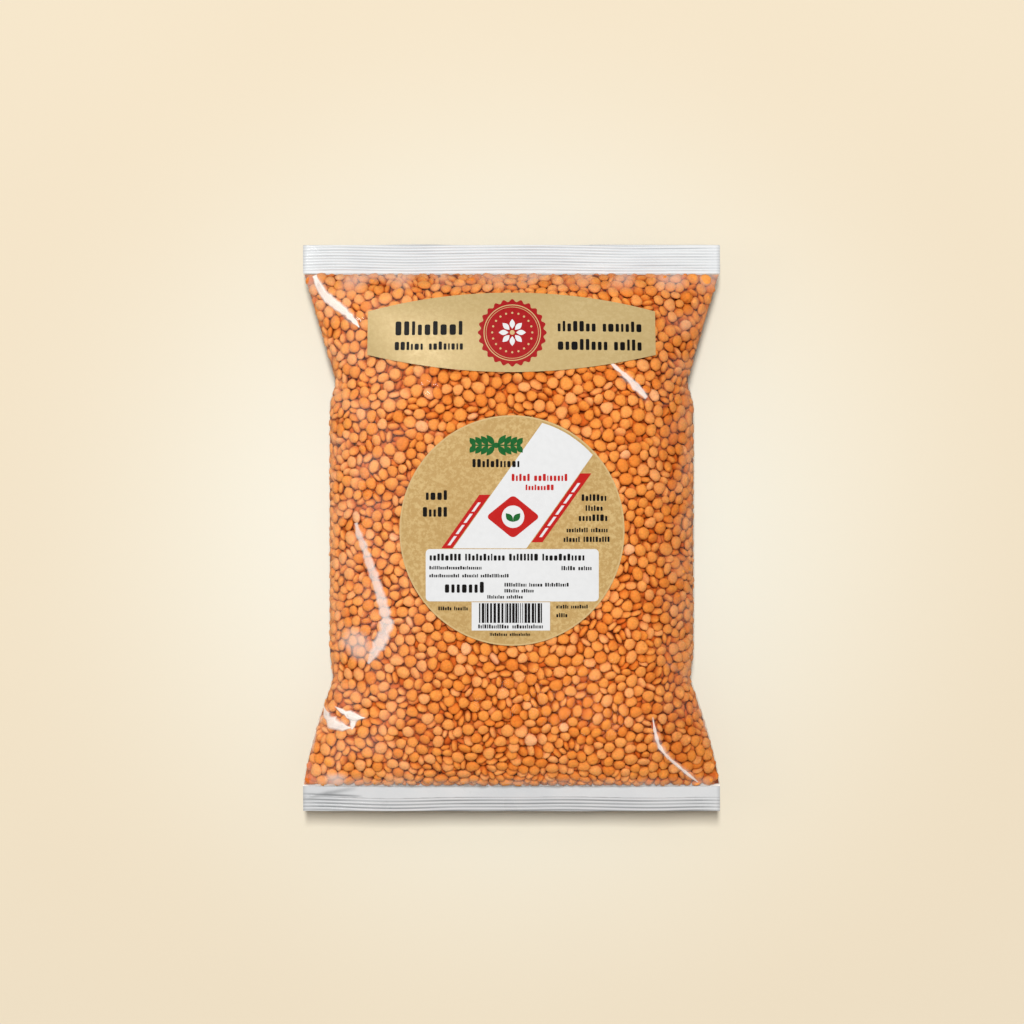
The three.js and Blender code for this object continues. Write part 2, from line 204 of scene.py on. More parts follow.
@dataclass
class BagForm:
    """The swollen shape of the film, the same as in the CAD source."""

    flat_width: float = 168.0
    height: float = 228.0
    top_seal: float = 11.3
    bottom_seal: float = 10.0
    seal_level: float = 20.0
    front_rise: float = 31.0
    back_drop: float = 24.0
    waist_half: float = 73.6
    top_neck_half: float = 71.3
    bottom_neck_half: float = 72.3
    ear_length: float = 43.0
    neck_ease: float = 12.0
    top_ear_bend: float = 1.0
    bottom_ear_bend: float = 1.35
    length_squareness: float = 3.4
    length_rounding: float = 0.55
    face_squareness: float = 2.6
    back_squareness: float = 4.5
    ear_squareness: float = 2.4
    waist_rounding: float = 0.5
    ear_rounding: float = 0.62
    ear_reach: float = 1.25
    banner_y: float = 77.4
    banner_half: float = 57.0
    banner_end: float = 8.7
    banner_middle: float = 16.0
    round_x: float = 0.2
    round_y: float = -0.8
    round_half_width: float = 44.2
    round_half_height: float = 45.2

    @property
    def top_line(self) -> float:
        """Where the top seal meets the body."""
        return self.height / 2 - self.top_seal

    @property
    def bottom_line(self) -> float:
        """Where the bottom seal meets the body."""
        return self.bottom_seal - self.height / 2

    @property
    def middle(self) -> float:
        """The middle of the body along the bag."""
        return (self.top_line + self.bottom_line) / 2

    @property
    def half_length(self) -> float:
        """Half the body's length."""
        return (self.top_line - self.bottom_line) / 2

    def to_seal(self, y: np.ndarray) -> np.ndarray:
        """Measure along the bag to the nearer seal line."""
        return np.minimum(self.top_line - y, y - self.bottom_line)

    def half_width(self, y: np.ndarray) -> np.ndarray:
        """Give half the bag's width at y: an ear, a neck or the waist.

        Args:
            y: Places along the bag.

        Returns:
            Half the width.
        """
        from_seal = np.maximum(self.to_seal(y), 0)
        top = y > self.middle
        neck = np.where(top, self.top_neck_half, self.bottom_neck_half)
        bend = np.where(top, self.top_ear_bend, self.bottom_ear_bend)
        half_flat = self.flat_width / 2
        ear = half_flat - (half_flat - neck) * np.minimum(from_seal / self.ear_length, 1) ** bend
        past_neck = ease(from_seal, self.ear_length, self.ear_length + self.neck_ease)
        waist = neck + (self.waist_half - neck) * past_neck
        return np.where(from_seal < self.ear_length, ear, waist)

    def lengthwise(self, y: np.ndarray) -> np.ndarray:
        """Give the share of the full thickness at y."""
        part = np.minimum(np.abs(y - self.middle) / self.half_length, 1)
        return (1 - part**self.length_squareness) ** self.length_rounding

    def across(self, part: np.ndarray, y: np.ndarray, squareness: float) -> np.ndarray:
        """Give the share of the thickness at a part of the half width.

        Args:
            part: Shares of the half width, from -1 to 1.
            y: Places along the bag.
            squareness: How square the section is at the waist.

        Returns:
            The share of the thickness.
        """
        ear = 1 - ease(self.to_seal(y), 0, self.ear_length * self.ear_reach)
        power = squareness + (self.ear_squareness - squareness) * ear
        rounding = self.waist_rounding + (self.ear_rounding - self.waist_rounding) * ear
        return np.maximum(1 - np.minimum(np.abs(part), 1) ** power, 0) ** rounding

    def level(self, x: np.ndarray, y: np.ndarray, side: Side) -> np.ndarray:
        """Give the film's smooth height over the table.

        Args:
            x: Places across the bag.
            y: Places along the bag.
            side: Which half of the film.

        Returns:
            The heights.
        """
        part = x / self.half_width(y)
        if side is Side.FRONT:
            rise = self.front_rise * self.lengthwise(y) * self.across(part, y, self.face_squareness)
            return self.seal_level + rise
        drop = self.back_drop * self.lengthwise(y) * self.across(part, y, self.back_squareness)
        return np.maximum(self.seal_level - drop, 0)

    def from_stickers(self, x: np.ndarray, y: np.ndarray) -> np.ndarray:
        """Measure roughly from the nearer sticker's edge, negative under a sticker.

        Args:
            x: Places across the bag.
            y: Places along the bag.

        Returns:
            The distances in millimetres.
        """
        part = np.minimum(np.abs(x) / self.banner_half, 1)
        half = self.banner_middle + (self.banner_end - self.banner_middle) * part**2
        banner = np.maximum(np.abs(x) - self.banner_half, np.abs(y - self.banner_y) - half)
        share_x = (x - self.round_x) / self.round_half_width
        share_y = (y - self.round_y) / self.round_half_height
        return np.minimum(banner, (np.hypot(share_x, share_y) - 1) * self.round_half_width)

    def stations(self, along: bool, count: int) -> np.ndarray:
        """Space places from -1 to 1 evenly along the face's profile.

        Args:
            along: True for the lengthwise profile, False for the one across the waist.
            count: How many spaces there are.

        Returns:
            The places, count + 1 of them.
        """
        steps = 2000
        places = np.sin(np.linspace(-math.pi / 2, math.pi / 2, steps))
        nought = np.zeros(steps)
        if along:
            run = places * self.half_length
            rise = self.level(nought, self.middle + run, Side.FRONT)
        else:
            run = places * self.waist_half
            rise = self.level(run, nought, Side.FRONT)
        lengths = np.concatenate([[0], np.cumsum(np.hypot(np.diff(run), np.diff(rise)))])
        return np.interp(np.linspace(0, lengths[-1], count + 1), lengths, places)

    def surface(self, columns: int, rows: int, side: Side) -> tuple[np.ndarray, np.ndarray]:
        """Sample the smooth film.

        Args:
            columns: Spaces across the bag.
            rows: Spaces along the bag.
            side: Which half of the film.

        Returns:
            Points and outward unit normals, each shaped rows + 1, columns + 1, 3.
        """
        along = self.middle + self.stations(True, rows) * self.half_length
        part, y = np.meshgrid(self.stations(False, columns), along)
        x = part * self.half_width(y)
        points = np.stack([x, y, self.level(x, y, side)], axis=-1)
        normals = np.cross(np.gradient(points, axis=1), np.gradient(points, axis=0)) * side.value
        return points, normals / np.maximum(np.linalg.norm(normals, axis=-1, keepdims=True), 1e-9)

    def face_normal(self, x: np.ndarray, y: np.ndarray) -> np.ndarray:
        """Give the face's outward unit normals at points.

        Args:
            x: Places across the bag.
            y: Places along the bag.

        Returns:
            The normals.
        """
        step = 0.5
        rise_x = self.level(x + step, y, Side.FRONT) - self.level(x - step, y, Side.FRONT)
        rise_y = self.level(x, y + step, Side.FRONT) - self.level(x, y - step, Side.FRONT)
        slope_x, slope_y = rise_x / (2 * step), rise_y / (2 * step)
        normal = np.stack([-slope_x, -slope_y, np.ones_like(slope_x)], axis=-1)
        return normal / np.linalg.norm(normal, axis=-1, keepdims=True)


class Board:
    """A material's node tree, filled node by node."""

    def __init__(self, name: str) -> None:
        """Start an empty tree with its output.

        Args:
            name: The material's name.
        """
        self.material = bpy.data.materials.new(name)
        self.material.use_nodes = True
        self.tree = self.material.node_tree
        self.tree.nodes.clear()
        self.output = self.node("ShaderNodeOutputMaterial")
        self.place = self.node("ShaderNodeTexCoord").outputs["Object"]

    def node(self, kind: str, **settings: object) -> bpy.types.Node:
        """Add a node.

        Args:
            kind: The node's type name.
            settings: Its properties.

        Returns:
            The node.
        """
        made = self.tree.nodes.new(kind)
        for key, value in settings.items():
            setattr(made, key, value)
        return made

    def feed(self, made: bpy.types.Node, **inputs: object) -> bpy.types.Node:
        """Set or link a node's inputs by name, with underscores for spaces.

        Args:
            made: The node.
            inputs: A socket to link, or a value to set.

        Returns:
            The same node.
        """
        for key, value in inputs.items():
            self.put(made.inputs[key.replace("_", " ")], value)
        return made

    def put(self, socket: bpy.types.NodeSocket, value: object) -> None:
        """Link a socket to the value if that is a socket too, or else set it.

        Args:
            socket: The socket to feed.
            value: A number, a colour, a vector or another socket.
        """
        if isinstance(value, bpy.types.NodeSocket):
            self.tree.links.new(value, socket)
        else:
            socket.default_value = value

    def noise(self, size: float, detail: float = 2.0, roughness: float = 0.5) -> bpy.types.NodeSocket:
        """Add a noise pattern on the object's own coordinates.

        Args:
            size: The size of a patch in millimetres.
            detail: How many finer layers it has.
            roughness: How strong the finer layers are.

        Returns:
            The pattern's value, about 0.5 in the mean.
        """
        made = self.feed(self.node("ShaderNodeTexNoise"), Vector=self.place, Scale=1 / (size * MM))
        return self.feed(made, Detail=detail, Roughness=roughness).outputs["Fac"]

    def ramp(self, value: bpy.types.NodeSocket, stops: list[tuple[float, Colour]]) -> bpy.types.NodeSocket:
        """Turn a value into a colour.

        Args:
            value: The value, from 0 to 1.
            stops: Places and colours.

        Returns:
            The colour.
        """
        made = self.feed(self.node("ShaderNodeValToRGB"), Fac=value)
        elements = made.color_ramp.elements
        while len(elements) < len(stops):
            elements.new(0.5)
        for element, (place, colour) in zip(elements, stops):
            element.position = place
            element.color = colour
        return made.outputs["Color"]

    def span(
        self,
        value: bpy.types.NodeSocket,
        low: float,
        high: float,
        to_low: float = 0.0,
        to_high: float = 1.0,
    ) -> bpy.types.NodeSocket:
        """Map a value from one range to another and clamp it.

        Args:
            value: The value.
            low: Where its range starts.
            high: Where its range ends.
            to_low: What the start becomes.
            to_high: What the end becomes.

        Returns:
            The mapped value.
        """
        made = self.feed(self.node("ShaderNodeMapRange"), Value=value, From_Min=low, From_Max=high)
        return self.feed(made, To_Min=to_low, To_Max=to_high).outputs["Result"]

    def reckon(self, operation: str, first: bpy.types.NodeSocket, second: object) -> bpy.types.NodeSocket:
        """Work out a value from two others and hold it between 0 and 1.

        Args:
            operation: The math node's operation.
            first: The first value.
            second: The second value.

        Returns:
            The result.
        """
        made = self.node("ShaderNodeMath", operation=operation, use_clamp=True)
        self.put(made.inputs[0], first)
        self.put(made.inputs[1], second)
        return made.outputs["Value"]

    def blend(self, share: object, first: object, second: object, mode: str = "MIX") -> bpy.types.NodeSocket:
        """Mix two colours.

        Args:
            share: How much of the second there is.
            first: The first colour.
            second: The second colour.
            mode: The blend type.

        Returns:
            The mixed colour.
        """
        made = self.node("ShaderNodeMix", data_type="RGBA", blend_type=mode)
        for socket, value in ((made.inputs[0], share), (made.inputs[6], first), (made.inputs[7], second)):
            self.put(socket, value)
        return made.outputs[2]

    def overlay(
        self,
        share: bpy.types.NodeSocket,
        first: bpy.types.NodeSocket,
        second: bpy.types.NodeSocket,
    ) -> bpy.types.NodeSocket:
        """Mix two shaders.

        Args:
            share: How much of the second there is.
            first: The first shader.
            second: The second shader.

        Returns:
            The mixed shader.
        """
        made = self.feed(self.node("ShaderNodeMixShader"), Fac=share)
        self.put(made.inputs[1], first)
        self.put(made.inputs[2], second)
        return made.outputs["Shader"]

    def bump(self, height: bpy.types.NodeSocket, depth: float, strength: float = 1.0) -> bpy.types.NodeSocket:
        """Add relief in the shader.

        Args:
            height: The pattern.
            depth: Its depth in millimetres.
            strength: How strongly it shows.

        Returns:
            The normal.
        """
        made = self.feed(self.node("ShaderNodeBump"), Height=height, Distance=depth * MM, Strength=strength)
        return made.outputs["Normal"]

    def attribute(self, name: str) -> bpy.types.NodeSocket:
        """Read a value that the mesh carries."""
        return self.node("ShaderNodeAttribute", attribute_name=name).outputs["Fac"]

    def finish(self, shader: bpy.types.NodeSocket) -> bpy.types.Material:
        """Link the shader to the output and give the material."""
        self.tree.links.new(shader, self.output.inputs["Surface"])
        return self.material

    def dress(self, **inputs: object) -> bpy.types.Material:
        """Finish the tree with a principled shader.

        Args:
            inputs: The shader's inputs by name, with underscores for spaces.

        Returns:
            The material.
        """
        return self.finish(self.feed(self.node("ShaderNodeBsdfPrincipled"), **inputs).outputs["BSDF"])


@dataclass(frozen=True)
class LentilFinish:
    """Dry hulled lentil: matt, with a mealy grain, each in its own tone, with painted shade that darkens it
    the deeper it lies.
    """

    name: str
    deep: Colour
    mid: Colour
    light: Colour
    shadow: Colour = field(default_factory=lambda: tint(182, 66, 4))
    mottle_size: float = 0.9
    mottled: float = 0.8
    grain_size: float = 0.28
    grain_depth: float = 0.05
    roughness: float = 0.6
    gloss: float = 0.1
    glow: float = 0.22
    glow_reach: float = 1.3
    glow_parts: tuple[float, float, float] = (1.0, 0.4, 0.15)

    def material(self) -> bpy.types.Material:
        """Build the material."""
        board = Board(self.name)
        colour = board.ramp(board.attribute("tone"), [(0.0, self.deep), (0.5, self.mid), (1.0, self.light)])
        mottle = board.span(board.noise(self.mottle_size, 3.0, 0.7), 0.32, 0.6, self.mottled, 1.0)
        mealy = board.blend(1.0, colour, mottle, "MULTIPLY")
        return board.dress(
            # Painted shade: the shade attribute blends each point towards the shadow colour the deeper it lies
            # under the film.
            Base_Color=board.blend(board.attribute("shade"), mealy, self.shadow),
            Roughness=self.roughness,
            Specular_IOR_Level=self.gloss,
            Subsurface_Weight=self.glow,
            Subsurface_Radius=self.glow_parts,
            Subsurface_Scale=self.glow_reach * MM,
            Normal=board.bump(board.noise(self.grain_size), self.grain_depth, 0.5),
        )


@dataclass(frozen=True)
class CoreFinish:
    """The bulk of seeds behind the outer ones, as domed cells with painted light on their middles and painted
    shade on their sides and in the gaps.
    """

    name: str = "lentil_bulk"
    seed_size: float = 4.6
    dome: float = 1.6
    roughness: float = 0.8
    gloss: float = 0.1
    # Painted light and shade: a lit colour, a shaded side colour and a dark gap colour.
    painted_lit: Colour = field(default_factory=lambda: tint(204, 122, 54))
    side: Colour = field(default_factory=lambda: tint(180, 96, 38))
    gap: Colour = field(default_factory=lambda: tint(112, 46, 12))

    def material(self) -> bpy.types.Material:
        """Build the material."""
        board = Board(self.name)
        cells = board.node("ShaderNodeTexVoronoi")
        spread = board.feed(cells, Vector=board.place, Scale=1 / (self.seed_size * MM))
        from_middle = spread.outputs["Distance"]
        return board.dress(
            # Painted light and shade: the colour runs from lit at each cell's middle to shaded at its side and
            # darkest in the gaps.
            Base_Color=board.ramp(from_middle, [(0.35, self.painted_lit), (0.55, self.side), (0.75, self.gap)]),
            Roughness=self.roughness,
            Specular_IOR_Level=self.gloss,
            Normal=board.bump(board.span(from_middle, 0.0, 0.8, 1.0, 0.0), self.dome, 0.8),
        )


@dataclass(frozen=True)
class FilmFinish:
    """Clear glossy film, milky with haze and painted crease highlights, and with painted shade dimming what
    lies under it.
    """

    name: str = "clear_film"
    roughness: float = 0.1
    index: float = 1.22
    most_gloss: float = 0.06
    crinkle_size: float = 3.4
    crinkle_depth: float = 0.3
    cloud_size: float = 17.0
    cloud: float = 0.004
    clear: Colour = (0.99, 0.985, 0.98, 1.0)
    shade_tint: Colour = (0.5, 0.5, 0.5, 1.0)
    milk: Colour = (0.98, 0.91, 0.84, 1.0)

    def material(self) -> bpy.types.Material:
        """Build the material."""
        board = Board(self.name)
        normal = board.bump(board.noise(self.crinkle_size), self.crinkle_depth, 0.4)
        # Painted shade: the film's transparent colour turns grey at its right side and top end.
        colour = board.blend(board.attribute("smoke"), self.clear, self.shade_tint)
        clear = board.feed(board.node("ShaderNodeBsdfTransparent"), Color=colour)
        gloss = board.feed(board.node("ShaderNodeBsdfGlossy"), Roughness=self.roughness, Normal=normal)
        fresnel = board.feed(board.node("ShaderNodeFresnel"), IOR=self.index, Normal=normal)
        mirrored = board.reckon("MINIMUM", fresnel.outputs["Fac"], self.most_gloss)
        skin = board.overlay(mirrored, clear.outputs["BSDF"], gloss.outputs["BSDF"])
        milk = board.feed(board.node("ShaderNodeBsdfDiffuse"), Color=self.milk)
        clouds = board.span(board.noise(self.cloud_size, 3.0, 0.6), 0.5, 0.75, 0.0, self.cloud)
        milky = board.reckon("ADD", clouds, board.attribute("haze"))
        return board.finish(board.overlay(milky, skin, milk.outputs["BSDF"]))


@dataclass(frozen=True)
class GlintFinish:
    """Film that a crease has turned white, as stress whitening and painted highlight, in part clear at its
    edges.
    """

    name: str = "crease_white"
    white: Colour = (0.97, 0.91, 0.86, 1.0)
    streak: Colour = (0.62, 0.53, 0.46, 1.0)
    streak_size: float = 1.6
    patch_size: float = 3.2
    thinnest: float = 0.75

    def material(self) -> bpy.types.Material:
        """Build the material."""
        board = Board(self.name)
        streaked = board.span(board.noise(self.streak_size, 3.0, 0.7), 0.5, 0.7, 0.0, 0.3)
        colour = board.blend(streaked, self.white, self.streak)
        milk = board.feed(board.node("ShaderNodeBsdfDiffuse"), Color=colour)
        patches = board.span(board.noise(self.patch_size), 0.3, 0.62, self.thinnest, 1.0)
        milky = board.reckon("MULTIPLY", board.attribute("haze"), patches)
        clear = board.node("ShaderNodeBsdfTransparent")
        return board.finish(board.overlay(milky, clear.outputs["BSDF"], milk.outputs["BSDF"]))


@dataclass(frozen=True)
class SealFinish:
    """White heat-sealed film with painted shade in the grooves between its ribs."""

    name: str
    ground: Colour
    patch: Colour
    groove: Colour
    patch_size: float = 22.0
    gloss_size: float = 9.0
    dent_size: float = 3.0
    dent_depth: float = 0.12

    def material(self) -> bpy.types.Material:
        """Build the material."""
        board = Board(self.name)
        patches = board.span(board.noise(self.patch_size), 0.35, 0.65, 0.0, 0.6)
        ground = board.blend(patches, self.ground, self.patch)
        return board.dress(
            Base_Color=board.blend(board.attribute("groove"), ground, self.groove),
            Roughness=board.span(board.noise(self.gloss_size), 0.3, 0.7, 0.26, 0.42),
            Normal=board.bump(board.noise(self.dent_size), self.dent_depth, 0.4),
        )


@dataclass(frozen=True)
class PaperFinish:
    """Satin gold sticker paper with a fine crackle."""

    name: str
    ground: Colour
    vein: Colour
    shade: Colour
    drift_size: float = 30.0
    crackle_size: float = 1.7
    gloss_size: float = 1.8
    tooth_size: float = 0.7
    tooth_depth: float = 0.03
    metal: float = 0.15

    def material(self) -> bpy.types.Material:
        """Build the material."""
        board = Board(self.name)
        crackle = board.span(board.noise(self.crackle_size, 4.0, 0.75), 0.46, 0.58)
        drift = board.span(board.noise(self.drift_size, 1.0), 0.35, 0.7, 0.0, 0.5)
        veined = board.blend(crackle, self.ground, self.vein)
        return board.dress(
            Base_Color=board.blend(drift, veined, self.shade),
            Metallic=self.metal,
            Roughness=board.span(board.noise(self.gloss_size), 0.3, 0.7, 0.38, 0.52),
            Normal=board.bump(board.noise(self.tooth_size, 3.0), self.tooth_depth, 0.35),
        )


@dataclass(frozen=True)
class InkFinish:
    """Flat print, slightly uneven where the ink has dried."""

    name: str
    colour: Colour
    worn: Colour
    roughness: float = 0.5
    gloss: float = 0.2
    mottle_size: float = 2.4
    grain_size: float = 0.5
    grain_depth: float = 0.02

    def material(self) -> bpy.types.Material:
        """Build the material."""
        board = Board(self.name)
        mottle = board.span(board.noise(self.mottle_size, 3.0, 0.6), 0.4, 0.75, 0.0, 0.7)
        return board.dress(
            Base_Color=board.blend(mottle, self.colour, self.worn),
            Roughness=self.roughness,
            Specular_IOR_Level=self.gloss,
            Normal=board.bump(board.noise(self.grain_size), self.grain_depth, 0.3),
        )


@dataclass(frozen=True)
class FloorFinish:
    """A plain cream studio floor with a painted pool of light that makes it paler in the middle. The pool is
    sized in metres.
    """

    name: str = "studio_floor"
    colour: Colour = field(default_factory=lambda: tint(202, 190, 168))
    cloud: Colour = field(default_factory=lambda: tint(199, 186, 164))
    middle: Colour = field(default_factory=lambda: tint(209, 208, 196))
    cloud_size: float = 160.0
    pool: float = 0.24
    full: float = 0.44
    roughness: float = 0.9

    def material(self) -> bpy.types.Material:
        """Build the material."""
        board = Board(self.name)
        clouds = board.span(board.noise(self.cloud_size, 1.0), 0.3, 0.7, 0.0, 0.25)
        plain = board.blend(clouds, self.colour, self.cloud)
        scale = (1 / self.pool, 1 / self.pool, 0)
        spread = board.feed(board.node("ShaderNodeMapping"), Vector=board.place, Scale=scale)
        # Painted pool of light: the floor is blended to the paler middle colour round the bag.
        pool = board.node("ShaderNodeTexGradient", gradient_type="QUADRATIC_SPHERE")
        board.feed(pool, Vector=spread.outputs["Vector"])
        painted_lit = board.span(pool.outputs["Fac"], 0.0, self.full)
        return board.dress(Base_Color=board.blend(painted_lit, plain, self.middle), Roughness=self.roughness)


def mesh_object(
    name: str, bm: bmesh.types.BMesh, material: bpy.types.Material, smooth: bool = True
) -> bpy.types.Object:
    """Turn a bmesh in metres into an object of the scene.

    Args:
        name: The piece's name.
        bm: The bmesh, which is freed.
        material: Its finish.
        smooth: Whether its faces are shaded smooth.

    Returns:
        The object.
    """
    for face in bm.faces:
        face.smooth = smooth
    mesh = bpy.data.meshes.new(name)
    bm.to_mesh(mesh)
    bm.free()
    mesh.materials.append(material)
    piece = bpy.data.objects.new(name, mesh)
    bpy.context.scene.collection.objects.link(piece)
    return piece


def register(piece: bpy.types.Object, slot: str, *nodes: str) -> None:
    """Tie a finished piece to the bag.

    Args:
        piece: The piece.
        slot: The material slot that it would take its finish from; not used.
        nodes: The CAD nodes that it stands for.
    """
    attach(piece, BODY)
    if nodes:
        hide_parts(*nodes)
    log.info("%s: %d faces", piece.name, len(piece.data.polygons))


class Cut(Enum):
    """The cuts of lentil that the bag holds: how many parts in all, and the shades of each."""

    AMBER = (0.27, (220, 131, 51), (224, 140, 62), (228, 149, 74))
    HONEY = (0.27, (222, 138, 61), (227, 147, 74), (230, 155, 86))
    RUST = (0.25, (214, 118, 41), (219, 129, 52), (223, 139, 63))
    PEACH = (0.20, (225, 145, 76), (228, 153, 88), (231, 160, 99))
    PALE = (0.01, (228, 158, 101), (232, 167, 114), (235, 175, 128))

    @property
    def share(self) -> float:
        """The part of all lentils that is of this cut."""
        return self.value[0]

    def finish(self) -> LentilFinish:
        """Give the cut's finish."""
        return LentilFinish(f"lentil_{self.name.lower()}", *(tint(*shade) for shade in self.value[1:]))


@dataclass
class LentilShapes:
    """A few lens shapes that all lentils are turned copies of. Each is a unit across its half width."""

    variants: int = 8
    segments: int = 11
    rings: int = 5
    plumpness: float = 2.6
    most_oval: float = 0.11
    most_corner: float = 0.09
    most_dent: float = 0.04
    flattest: float = 0.72
    seed: int = 5

    def make(self) -> tuple[np.ndarray, list[list[int]]]:
        """Shape the lenses.

        Returns:
            Points of every variant, and the faces, which all variants share.
        """
        random = np.random.default_rng(self.seed)
        bm = bmesh.new()
        bmesh.ops.create_uvsphere(bm, u_segments=self.segments, v_segments=self.rings, radius=1.0)
        bmesh.ops.recalc_face_normals(bm, faces=bm.faces)
        ball = np.array([vert.co[:] for vert in bm.verts])
        faces = [[vert.index for vert in face.verts] for face in bm.faces]
        bm.free()
        reach = np.hypot(ball[:, 0], ball[:, 1])
        angle = np.arctan2(ball[:, 1], ball[:, 0])
        round_off = (reach**self.plumpness + np.abs(ball[:, 2]) ** self.plumpness) ** (-1 / self.plumpness)
        shapes = []
        for _ in range(self.variants):
            oval, corner, dent = (
                random.uniform(0.0, most) for most in (self.most_oval, self.most_corner, self.most_dent)
            )
            start = random.uniform(0, 2 * math.pi, 3)
            rim = 1 + oval * np.cos(2 * angle + start[0]) + corner * np.cos(3 * angle + start[1])
            rim += dent * np.cos(5 * angle + start[2])
            shape = ball * (round_off * (1 + (rim - 1) * reach))[:, None]
            shape[:, 2] *= np.where(shape[:, 2] < 0, random.uniform(self.flattest, 1.0), 1.0)
            shapes.append(shape)
        return np.array(shapes), faces


@dataclass
class Packing:
    """Lentils pressed against the film: discs that push each other apart until none overlap."""

    form: BagForm
    count: int = 7800
    mean_radius: float = 2.52
    spread: float = 0.22
    least: float = 1.7
    most: float = 3.1
    flatness: float = 0.5
    shallowest: float = 1.3
    wall: float = 4.4
    layer: float = 5.9
    thinnest_layer: float = 0.15
    scatter: float = 0.5
    steps: int = 180
    last_steps: int = 6
    search_every: int = 8
    seed: int = 29
    press: float = 0.035
    film_gap: float = 0.1
    film_reach: float = 12.0
    film_push: float = 0.6
    crowding: float = 0.04
    crowd_from: float = 8.0
    crowd_to: float = 34.0
    calming: float = 0.7
    lean: float = 0.65
    righting: float = 0.22

    def start(self) -> None:
        """Strew the lentils through a layer under the film."""
        random = np.random.default_rng(self.seed)
        clouds = []
        for side in Side:
            points, normals = self.form.surface(120, 170, side)
            across, along = np.gradient(points, axis=1), np.gradient(points, axis=0)
            patch = np.linalg.norm(np.cross(across, along), axis=-1)
            room = np.abs(points[..., 2] - self.form.seal_level) / self.layer
            room = np.clip(room, self.thinnest_layer, 1)
            clouds.append((points.reshape(-1, 3), normals.reshape(-1, 3), (patch * room).reshape(-1)))
        self.clouds = clouds
        self.trees = [self.tree(points) for points, _, _ in clouds]
        points, normals, areas = (np.concatenate(part) for part in zip(*clouds))
        log.info("room for lentils: %.0f mm3", areas.sum() * self.layer)
        pick = random.choice(len(points), self.count, p=areas / areas.sum())
        self.radius = np.clip(random.normal(self.mean_radius, self.spread, self.count), self.least, self.most)
        deep = random.uniform(self.shallowest, self.wall, self.count)
        strewn = random.normal(0, self.scatter, (self.count, 3))
        self.centre = points[pick] - normals[pick] * deep[:, None] + strewn
        self.axis = normals[pick] + random.normal(0, self.lean, (self.count, 3))
        self.straighten()

    def straighten(self) -> None:
        """Give every axis a length of 1 again."""
        self.axis /= np.linalg.norm(self.axis, axis=1, keepdims=True)

    @staticmethod
    def tree(points: np.ndarray) -> KDTree:
        """Sort points for finding the nearest one.

        Args:
            points: The points.

        Returns:
            The sorted tree.
        """
        made = KDTree(len(points))
        for number, point in enumerate(points):
            made.insert(point, number)
        made.balance()
        return made

    def find_film(self) -> None:
        """Find the film beside each lentil, on both halves."""
        self.film = []
        for tree, (points, normals, _) in zip(self.trees, self.clouds):
            nearest = np.array([tree.find(centre)[1] for centre in self.centre])
            self.film.append((points[nearest], normals[nearest]))

    def find_pairs(self) -> None:
        """List the lentils that lie within reach of each other."""
        reach = 2 * self.most
        cells = np.floor(self.centre / reach).astype(np.int64)
        cells -= cells.min(axis=0) - 1
        size = cells.max(axis=0) + 2
        stride = np.array([size[1] * size[2], size[2], 1])
        key = cells @ stride
        order = np.argsort(key, kind="stable")
        sorted_key = key[order]
        firsts, seconds = [], []
        steps = [(a, b, c) for a in (-1, 0, 1) for b in (-1, 0, 1) for c in (-1, 0, 1)]
        for step in steps:
            target = key + np.array(step) @ stride
            low = np.searchsorted(sorted_key, target, "left")
            found = np.searchsorted(sorted_key, target, "right") - low
            first = np.repeat(np.arange(self.count), found)
            start = np.repeat(low - np.concatenate([[0], np.cumsum(found)[:-1]]), found)
            second = order[start + np.arange(len(first))]
            keep = first < second
            firsts.append(first[keep])
            seconds.append(second[keep])
        first, second = np.concatenate(firsts), np.concatenate(seconds)
        near = np.linalg.norm(self.centre[first] - self.centre[second], axis=1) < reach * 1.05
        self.first, self.second = first[near], second[near]

    def push_apart(self, give: float) -> None:
        """Move and turn the lentils that overlap.

        Args:
            give: The share of each overlap that one step takes away.
        """
        first, second = self.first, self.second
        gap = self.centre[second] - self.centre[first]
        distance = np.maximum(np.linalg.norm(gap, axis=1), 1e-6)
        way = gap / distance[:, None]
        thin = (self.flatness**2 - 1) / (self.flatness**2 + 1)
        axis_a, axis_b = self.axis[first], self.axis[second]
        a = np.einsum("ij,ij->i", way, axis_a)
        b = np.einsum("ij,ij->i", way, axis_b)
        c = np.einsum("ij,ij->i", axis_a, axis_b)
        plus, minus = (a + b) / (1 + thin * c), (a - b) / (1 - thin * c)
        bulk = np.maximum(1 - thin / 2 * ((a + b) * plus + (a - b) * minus), 1e-3)
        width = self.radius[first] + self.radius[second]
        overlap = width / np.sqrt(bulk) - distance
        touch = overlap > 0
        amount = (np.minimum(overlap, 1.0) * give)[touch][:, None]
        first, second, way = first[touch], second[touch], way[touch]
        plus, minus = plus[touch][:, None], minus[touch][:, None]
        axis_a, axis_b = axis_a[touch], axis_b[touch]
        slope = (0.5 * width / bulk**1.5)[touch][:, None] * thin
        by_a, by_b = slope * (plus + minus), slope * (plus - minus)
        by_c = -slope * thin / 2 * (plus**2 - minus**2)
        side = by_a * axis_a + by_b * axis_b
        side -= way * np.einsum("ij,ij->i", side, way)[:, None]
        push = amount * (way - side / distance[touch][:, None])
        turn_a = -amount * (by_a * way + by_c * axis_b)
        turn_b = -amount * (by_b * way + by_c * axis_a)
        scale = 1 / width[touch][:, None]
        turn_a, turn_b = turn_a * scale, turn_b * scale
        for k in range(3):
            self.centre[:, k] += self.summed(second, push[:, k]) - self.summed(first, push[:, k])
            self.axis[:, k] += self.summed(first, turn_a[:, k]) + self.summed(second, turn_b[:, k])
        self.straighten()
        self.overlap = float(overlap[touch].mean())

    def summed(self, place: np.ndarray, amount: np.ndarray) -> np.ndarray:
        """Add up amounts for each lentil."""
        return np.bincount(place, amount, self.count)

